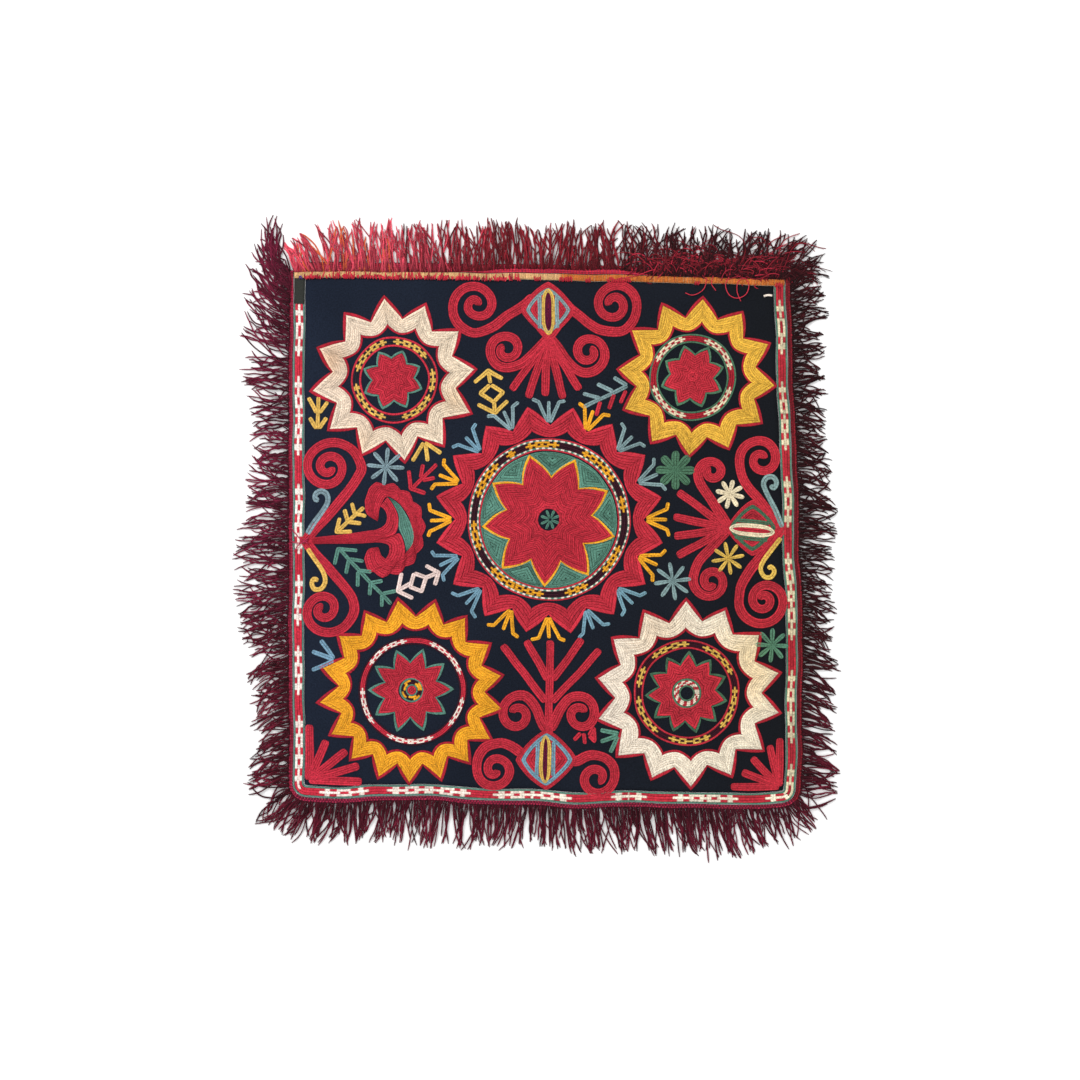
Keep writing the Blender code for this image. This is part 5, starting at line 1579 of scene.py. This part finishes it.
# Dyes at shares along a side.
FRINGE_DYES = {
    "left": ((0, "mulberry"), (0.55, "mulberry"), (0.75, "wine"), (1, "wine")),
    "bottom": ((0, "wine"), (1, "wine")),
    "right": ((0, "wine"), (0.3, "garnet"), (1, "garnet")),
    "top": ((0, "rose"), (0.2, "rose"), (0.34, "brick"), (0.6, "brick"), (0.74, "garnet"),
            (1, "garnet")),
}
# How crowded the roots are at shares along a side, beside each other.
CROWD = {
    "left": ((0, 2.5), (0.05, 2.0), (0.1, 1.1), (0.25, 0.8), (0.4, 1.2), (1, 1.2)),
    "bottom": ((0, 1.4), (0.1, 1.0), (1, 1.0)),
    "right": ((0, 1.0), (0.8, 1.1), (1, 1.3)),
    "top": ((0, 1.2), (1, 1.0)),
}
# How tangled the strands are at shares along a side: 1 is combed, 3 is a nest.
TANGLE = {
    "left": ((0, 2.6), (0.12, 1.6), (0.3, 1.9), (0.55, 1.6), (0.65, 2.2), (0.8, 1.3), (1, 1.6)),
    "bottom": ((0, 1.6), (0.12, 1.0), (1, 1.0)),
    "right": ((0, 1.1), (0.45, 1.1), (0.6, 1.5), (0.8, 1.4), (1, 1.7)),
    "top": ((0, 1.2), (0.12, 1.2), (0.6, 1.2), (0.68, 2.4), (0.9, 2.6), (1, 2.0)),
}
# Where across the heading a strand comes up, 0 at its inner edge, at shares along a side.
ROOT_AT = {
    "left": ((0, 0.42), (1, 0.45)),
    "bottom": ((0, 0.5), (1, 0.5)),
    "right": ((0, 0.58), (1, 0.58)),
    "top": ((0, -0.1), (0.3, -0.05), (0.42, 0.3), (0.66, 0.4), (0.74, 0.0), (1, 0.0)),
}
# Rows of the heading: from and to which share across, and how many.
HEADING_ROWS = {"left": (0.02, 0.5, 2), "bottom": (0.02, 0.52, 2), "right": (0.02, 0.62, 2),
                "top": (0.02, 0.64, 4)}
# Strands, mean width of a bunch, chance to cross into the next one, sway in millimetres, how
# much the strands differ in depth of colour, and the two dyes of the heading's rows.
FRINGE_MAKE = {
    "left": (600, 10.0, 0.36, 1.9, 0.5, ("crimson", "ruby")),
    "bottom": (560, 9.0, 0.2, 1.1, 0.38, ("crimson", "mulberry")),
    "right": (560, 12.0, 0.3, 1.4, 0.4, ("ruby", "brick")),
    "top": (560, 8.0, 0.4, 1.7, 0.45, ("red", "crimson")),
}
# Painted shade near the roots: what it leaves of the colour at a strand's first stations.
ROOT_SHADE = {name: ((0, 0.4), (3, 0.5), (7, 0.95), (12, 1)) for name in SIDES}
ROOT_SHADE["top"] = ((0, 0.6), (2, 0.75), (5, 1))
STRAND_RADIUS = 0.88
STATIONS = 12
STRAND_LIES = 0.75          # height of a strand's middle where it lies on the floor
HEADING_TOP = 2.2
TIP_TAPER = 0.45            # a strand's tip as a share of its radius
SHORT = 0.32                # share of the strands that are broken off short
SHORT_LEFT = (0.3, 0.7)     # and what is left of their length
BUNCH_PULL = (0.65, 1.0)    # share of the way to its bunch by which a tip is drawn
BUNCH_SIZE = (0.82, 1.06)   # a bunch's length as a share of the mean
BUNCH_LEAN, TIP_LEAN, KNEE_LEAN = 6.0, 4.0, 11.0        # spread of the leans in degrees
TIP_SPREAD = 0.8            # millimetres, times the tangle squared


def along_table(table, share):
    """A table's value at each share, or station, along."""
    at, value = np.array(table, float).T
    return np.interp(share, at, value)


def dye_table(table, share):
    """A table's linear colour at each share along."""
    at = [row[0] for row in table]
    colours = np.array([dyed(row[1]) for row in table])
    return np.stack([np.interp(share, at, colours[:, k]) for k in range(3)], axis=-1)


print("strands:", sum(make[0] for make in FRINGE_MAKE.values()))

# %% [markdown]
# ## From roots to tips
# The roots stand at nearly even steps along the heading, closer where the fringe is crowded.
# Each then looks for the nearest bunch, and now and then for the one beside it, which is what
# makes neighbouring bunches cross. Everything is drawn at random about the tables' values.

# %% Roots and bunches


def unit(vectors):
    """Vectors of length one."""
    return vectors / np.maximum(np.linalg.norm(vectors, axis=-1, keepdims=True), 1e-9)


def rooted(name, count):
    """Shares along at which strands are rooted: even steps of the crowding's running sum, each
    moved by up to 0.7 of a step."""
    fine = np.linspace(0, 1, 401)
    total = np.cumsum(along_table(CROWD[name], fine))
    step = (np.arange(count) + 0.5 + random.uniform(-0.7, 0.7, count)) / count
    return np.interp(np.clip(step, 0, 1) * total[-1], total, fine)


def bunched(name, share, length):
    """For each root the share along at which its tip lies, near that of the nearest bunch or of
    a neighbour of it, with that bunch's share of the mean length and its own lean in degrees."""
    _, wide, stray = FRINGE_MAKE[name][:3]
    gaps = random.uniform(0.4, 1.6, int(length / wide) + 1)
    centres = (np.cumsum(gaps) - 0.5 * gaps) / gaps.sum()
    nearest = np.abs(share[:, None] - centres[None]).argmin(axis=1)
    step = np.where(random.random(len(share)) < stray, random.choice((-1, 1), len(share)), 0)
    bunch = np.clip(nearest + step, 0, len(centres) - 1)
    pull = random.uniform(*BUNCH_PULL, len(share))
    spread = TIP_SPREAD * along_table(TANGLE[name], share) ** 2
    end = share + (centres[bunch] - share) * pull
    end = end + random.normal(0, 1, len(share)) * spread / length
    size = random.uniform(*BUNCH_SIZE, len(centres))[bunch]
    return end, size, random.normal(0, BUNCH_LEAN, len(centres))[bunch]


print("mean width of a bunch:", {name: make[1] for name, make in FRINGE_MAKE.items()})

# %% [markdown]
# ## Lay the strands
# A strand leaves the heading above the floor and comes down to it along the way. The curve from
# root to tip by way of a knee is smooth and cheap, and a few sine waves across it add the sway
# of old yarn. Where a strand crosses its own heading, the heading holds it up.

# %% Lay the strands


def along_sign(line, away):
    """1 or -1, so that (-y, x) of the outward normal times it runs with the line."""
    way = line[-1] - line[0]
    middle = away[len(away) // 2]
    return 1.0 if -middle[1] * way[0] + middle[0] * way[1] > 0 else -1.0


def laid_strands(name, line, away, near, far):
    """Centre lines of a side's strands, from the heading out to their tips. Seen from above a
    line is (1 - t)^2 root + 2 t (1 - t) knee + t^2 tip, plus three sine waves across its chord.
    Its height falls evenly from the heading's top to the floor with a wave of less than a
    millimetre, and stays above the heading for as long as the strand lies over it."""
    count, _, _, sway = FRINGE_MAKE[name][:4]
    edge = line + away * far
    run, length = shares(edge)
    share = rooted(name, count)
    tangle = along_table(TANGLE[name], share)

    def at(values, where):
        """A line's values, or normals, at shares along the heading's outer edge."""
        return np.stack([np.interp(where, run, values[:, k]) for k in range(2)], axis=1)

    def turned(out, angle):
        """The outward direction turned by an angle towards the side's end."""
        way = np.stack([-out[:, 1], out[:, 0]], axis=1) * along_sign(line, away)
        return np.cos(angle)[:, None] * out + np.sin(angle)[:, None] * way

    out = unit(at(away, share))
    inset = (far - near) * (1 - along_table(ROOT_AT[name], share))
    inset = inset + random.uniform(-0.6, 0.6, count)
    root = at(edge, share) - out * inset[:, None]
    end, size, bend = bunched(name, share, length)
    stray = random.normal(0, TIP_LEAN, count) * tangle
    lean = np.radians(along_table(LEAN[name], end) + bend + stray)
    reach = along_table(LONG[name], end) * size * (1.08 - 0.35 * random.random(count) ** 1.6)
    broken = random.random(count) < SHORT
    reach = reach * np.where(broken, random.uniform(*SHORT_LEFT, count), 1.0)
    tip = at(edge, end) + turned(unit(at(away, end)), lean) * reach[:, None]
    knee_lean = lean * 0.4 + np.radians(random.normal(0, KNEE_LEAN, count)) * tangle
    bow = (reach + inset) * random.uniform(0.35, 0.6, count)
    knee = root + turned(out, knee_lean) * bow[:, None]
    t = np.linspace(0, 1, STATIONS)[None, :, None]
    flat = (1 - t) ** 2 * root[:, None] + 2 * t * (1 - t) * knee[:, None] + t ** 2 * tip[:, None]
    chord = unit(tip - root)
    cross = np.stack([-chord[:, 1], chord[:, 0]], axis=1)[:, None, :]
    swing = (random.normal(0, sway, (3, count)) * tangle)[..., None, None]
    phase = random.uniform(0, 2 * np.pi, count)[:, None, None]
    flat = flat + cross * (0.5 * swing[0] * np.sin(np.pi * t)
                           + 0.42 * swing[1] * np.sin(2 * np.pi * t)
                           + 0.2 * swing[2] * t * np.sin(5.5 * np.pi * t + phase))
    t = t[..., 0]
    layer = random.uniform(0.0, 1.0, (count, 2))
    on_heading = t * (reach + inset)[:, None] < inset[:, None]
    high = (HEADING_TOP + 0.9 * layer[:, :1]) * (1 - t) + STRAND_LIES * t
    high = high + 0.8 * np.sin(3.2 * np.pi * t + 6.3 * layer[:, 1:]) * np.sin(np.pi * t)
    high = np.maximum(high, np.where(on_heading, HEADING_TOP, 0.72))
    high[:, 0] = HEADING_TOP - 0.5
    return np.dstack([flat, high]), share


print("a strand has", STATIONS, "stations")

# %% [markdown]
# ## Nests
# At its right end the top fringe has curled up into a nest. A curve between two points can't
# make curls, so these strands grow step by step: each step turns the direction a little more.

# %% Nests
# Nests at the right end of the top: strands, left and right end of their roots, least and
# greatest first angle, bend in degrees towards the floor line, least and greatest length, dye.
NESTS = (
    (90, 648, 784, 25, 165, 150, 34, 58, "brick"),
    (80, 648, 784, 25, 165, 150, 34, 58, "ruby"),
    (60, 680, 796, 5, 75, 70, 26, 44, "garnet"),
    (30, 782, 797, -20, 40, 30, 20, 36, "garnet"),
)
NEST_NEAR = 7.0             # how far from the seam the nests' roots begin
NEST_STATIONS = 17
NEST_LIFTED = 0.8           # share of the hang past the binding's middle that is taken off


def nest(work, count, left, right, low, high, bend, short, long, dye):
    """Curly strands in a nest. A strand's direction starts at an angle and turns steadily
    towards the side it leans to, with a wave added; the line is the sum of its short steps.
    The heading below holds it up, so most of what would hang past the binding is taken off."""
    x = random.uniform(left, right, count)
    y = np.interp(x, top_seam[:, 0], top_seam[:, 1]) - NEST_NEAR
    y = y - random.uniform(0, TOP_HEADING_WIDE, count)
    t = np.linspace(0, 1, NEST_STATIONS)
    first = np.radians(random.uniform(low, high, count))[:, None]
    turned = np.radians(random.uniform(0.3, 1.3, count) * bend)[:, None] * -np.sign(np.cos(first))
    wave = np.radians(random.normal(0, 22, count))[:, None]
    phase = random.uniform(0, 6.3, count)[:, None]
    angle = first + turned * t + wave * np.sin(2 * np.pi * t + phase)
    step = (random.uniform(short, long, count) / (len(t) - 1))[:, None]
    flat_x = x[:, None] + np.cumsum(np.cos(angle) * step, axis=1)
    flat_y = y[:, None] - np.cumsum(np.sin(angle) * step, axis=1)
    hang = flat_y - np.interp(flat_x, top_seam[:, 0], top_seam[:, 1]) + BINDING_WIDE / 2
    flat_y -= NEST_LIFTED * np.maximum(hang, 0)
    base = random.uniform(1.6, 3.8, count)[:, None]
    z = base * (1 - 0.6 * t) + 0.5 * np.sin(np.pi * t * 3 + 6.3 * random.random((count, 1)))
    lines = np.stack([flat_x, flat_y, np.maximum(z, 0.8)], axis=-1)
    radius = even_radius(lines, STRAND_RADIUS) * random.uniform(0.5, 0.75, (count, 1))
    radius[:, -1] *= TIP_TAPER
    colour = dyed(dye) * np.exp(np.minimum(random.normal(0, 0.55, (count, 1)), 0.55))
    strands(work, lines, radius, colour[:, None, :], sides=4)


print("nest strands:", sum(row[0] for row in NESTS))

# %% [markdown]
# ## Sew the fringes
# A fringe is one piece: a dark tape, the heading's rows sewn on it, and the strands over them.
# Each strand is a little darker or lighter than the next, and painted darker with shade where it
# leaves the heading.

# %% Fringes


def fringe(name, line, away, near, far):
    """A heading and its strands as one piece. A strand's colour is the side's dye there times
    e to a random depth, capped so that none shines, and times a painted shade near its root."""
    work = Work("fringe_" + name + "_strands")
    band = side_band(line, away, near, far)
    start, stop, rows = HEADING_ROWS[name]
    backing = side_band(line, away, near, near + (far - near) * (stop + 0.06))
    tape(work, backing, (1.2, 1.5, 1.5, 1.5, 1.2), "wine", 160)
    spread, (bright, deep) = FRINGE_MAKE[name][4:]
    sew(work, band, rows, dashes(bright, deep, 1.5), part=(start, stop), lift=-0.1, high=0.9,
        stitch=2.2, tone=0.14)
    lines, share = laid_strands(name, line, away, near, far)
    radius = even_radius(lines, STRAND_RADIUS) * random.uniform(0.8, 1.15, (len(lines), 1))
    radius[:, -1] *= TIP_TAPER
    colour = dye_table(FRINGE_DYES[name], share + random.normal(0, 0.06, len(share)))
    colour = colour * np.exp(np.minimum(random.normal(0, spread, (len(share), 1)), 0.5))
    if name == "top":
        sunned = (share < 0.2) & (random.random(len(share)) < 0.14)
        colour[sunned] = dyed("rust")
    # Painted shade where the roots crowd: a strand's first stations are darkened.
    shade = along_table(ROOT_SHADE[name], np.arange(STATIONS))
    strands(work, lines, radius, colour[:, None, :] * shade[None, :, None], sides=4)
    if name == "top":
        for row in NESTS:
            nest(work, *row)
    piece = work.finish(fringe_yarn)
    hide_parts("fringe_" + name)
    return piece


ROOT_NEAR = BORDER_FAR + PART_GAP
for name in SIDES:
    line, away = side_parts(name)
    fringe(name, line, away, ROOT_NEAR, ROOT_NEAR + HEADING_WIDE)
top_near = PART_GAP / 2 + BINDING_WIDE + PART_GAP
fringe("top", top_seam, top_away, top_near, top_near + TOP_HEADING_WIDE)
print("fringe laid")

# %% [markdown]
# ## Loose ends
# A few threads have worked loose: red loops below the binding, a white tack stitch, and the
# tails of the knot where three stems meet at the border.

# %% Loose threads
# Loose threads: dye, radius, height above the cloth, and the points they pass.
LOOSE = (
    ("red", 0.45, 1.5, ((685, 293), (691, 295.2), (697, 294), (703, 290),
                        (705.5, 285), (706, 278))),
    ("red", 0.45, 1.7, ((729, 277.5), (725.5, 286), (729, 295.5), (737.5, 299),
                        (746, 295), (749, 286), (745, 278.5), (738, 282),
                        (737, 292), (741, 302))),
    ("red", 0.45, 1.5, ((713, 276), (711.5, 284), (716, 291))),
    ("white", 1.2, 0.6, ((764, 296), (768, 295), (772, 295.4))),
    ("crimson", 0.55, 2, ((292, 528), (297, 534.5), (303, 540.5), (309, 543))),
    ("crimson", 0.55, 2, ((294.5, 552), (298.5, 545.5), (304, 541), (309.5, 537))),
    ("crimson", 0.55, 2, ((290.5, 541), (297, 543), (304, 542), (308, 540))),
)
threads = Work("loose_threads")
for dye, radius, above, points in LOOSE:
    line = smooth(points, 1.5)
    height = lie(line[:, 0], line[:, 1]) + above
    height[[0, -1]] -= 0.4
    lines = np.column_stack([line, height])[None]
    strands(threads, lines, even_radius(lines, radius), dyed(dye)[None, None])
print(len(LOOSE), "loose threads")

# %% [markdown]
# ## Join the pieces to the cloth
# Each piece becomes one mesh and stands for the solid it covers.

# %% Finish the pieces
sewn = [work.finish(stitched_yarn)
        for work in (*rings.values(), scrolls, fans, horns, diamonds, small, threads)]
for name, work in borders.items():
    piece = work.finish(stitched_yarn)
    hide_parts("border_" + name)
tape_piece = binding.finish(stitched_yarn)
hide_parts("top_binding")

# %% [markdown]
# ## Floor, light and camera
# The panel lies flat on a pale floor. The camera looks straight down from two and a half metres,
# far enough that the sides don't lean. A broad soft light stands to the upper left.

# %% Stage
bpy.ops.mesh.primitive_plane_add(size=8.0, location=(0.0, 0.0, 0.0))
floor = bpy.context.object
floor.name = "floor"
paper = bpy.data.materials.new("pale_floor")
paper.use_nodes = True
paper_shader = next(n for n in paper.node_tree.nodes if n.type == "BSDF_PRINCIPLED")
paper_shader.inputs["Base Color"].default_value = (0.97, 0.97, 0.97, 1.0)
paper_shader.inputs["Roughness"].default_value = 0.95
floor.data.materials.append(paper)


def soft_light(name, location, size, power):
    """A square area light aimed at the origin."""
    lamp = bpy.data.lights.new(name, "AREA")
    lamp.size, lamp.energy = size, power
    obj = bpy.data.objects.new(name, lamp)
    bpy.context.scene.collection.objects.link(obj)
    obj.location = location
    aim = np.array(location) / np.linalg.norm(location)
    obj.rotation_euler = (math.acos(aim[2]), 0.0, math.atan2(aim[1], aim[0]) + math.pi / 2)


soft_light("window", (-1.4, 1.5, 2.0), 1.6, 46.0)
soft_light("fill", (1.2, -0.8, 2.6), 2.4, 20.0)
world = bpy.data.worlds.new("studio")
world.use_nodes = True
sky = world.node_tree.nodes["Background"]
sky.inputs["Color"].default_value = (1.0, 1.0, 1.0, 1.0)
sky.inputs["Strength"].default_value = 0.72
bpy.context.scene.world = world
bpy.context.scene.view_settings.view_transform = "Standard"

LENS = 85.0
SENSOR = 36.0
FRAME_WIDE = 1.08           # metres across the picture at the floor
camera_data = bpy.data.cameras.new("camera")
camera_data.lens, camera_data.sensor_width = LENS, SENSOR
camera = bpy.data.objects.new("camera", camera_data)
bpy.context.scene.collection.objects.link(camera)
camera.location = (0.005, -0.003, FRAME_WIDE * LENS / SENSOR)
bpy.context.scene.camera = camera
print("camera", round(camera.location.z, 2), "m up")
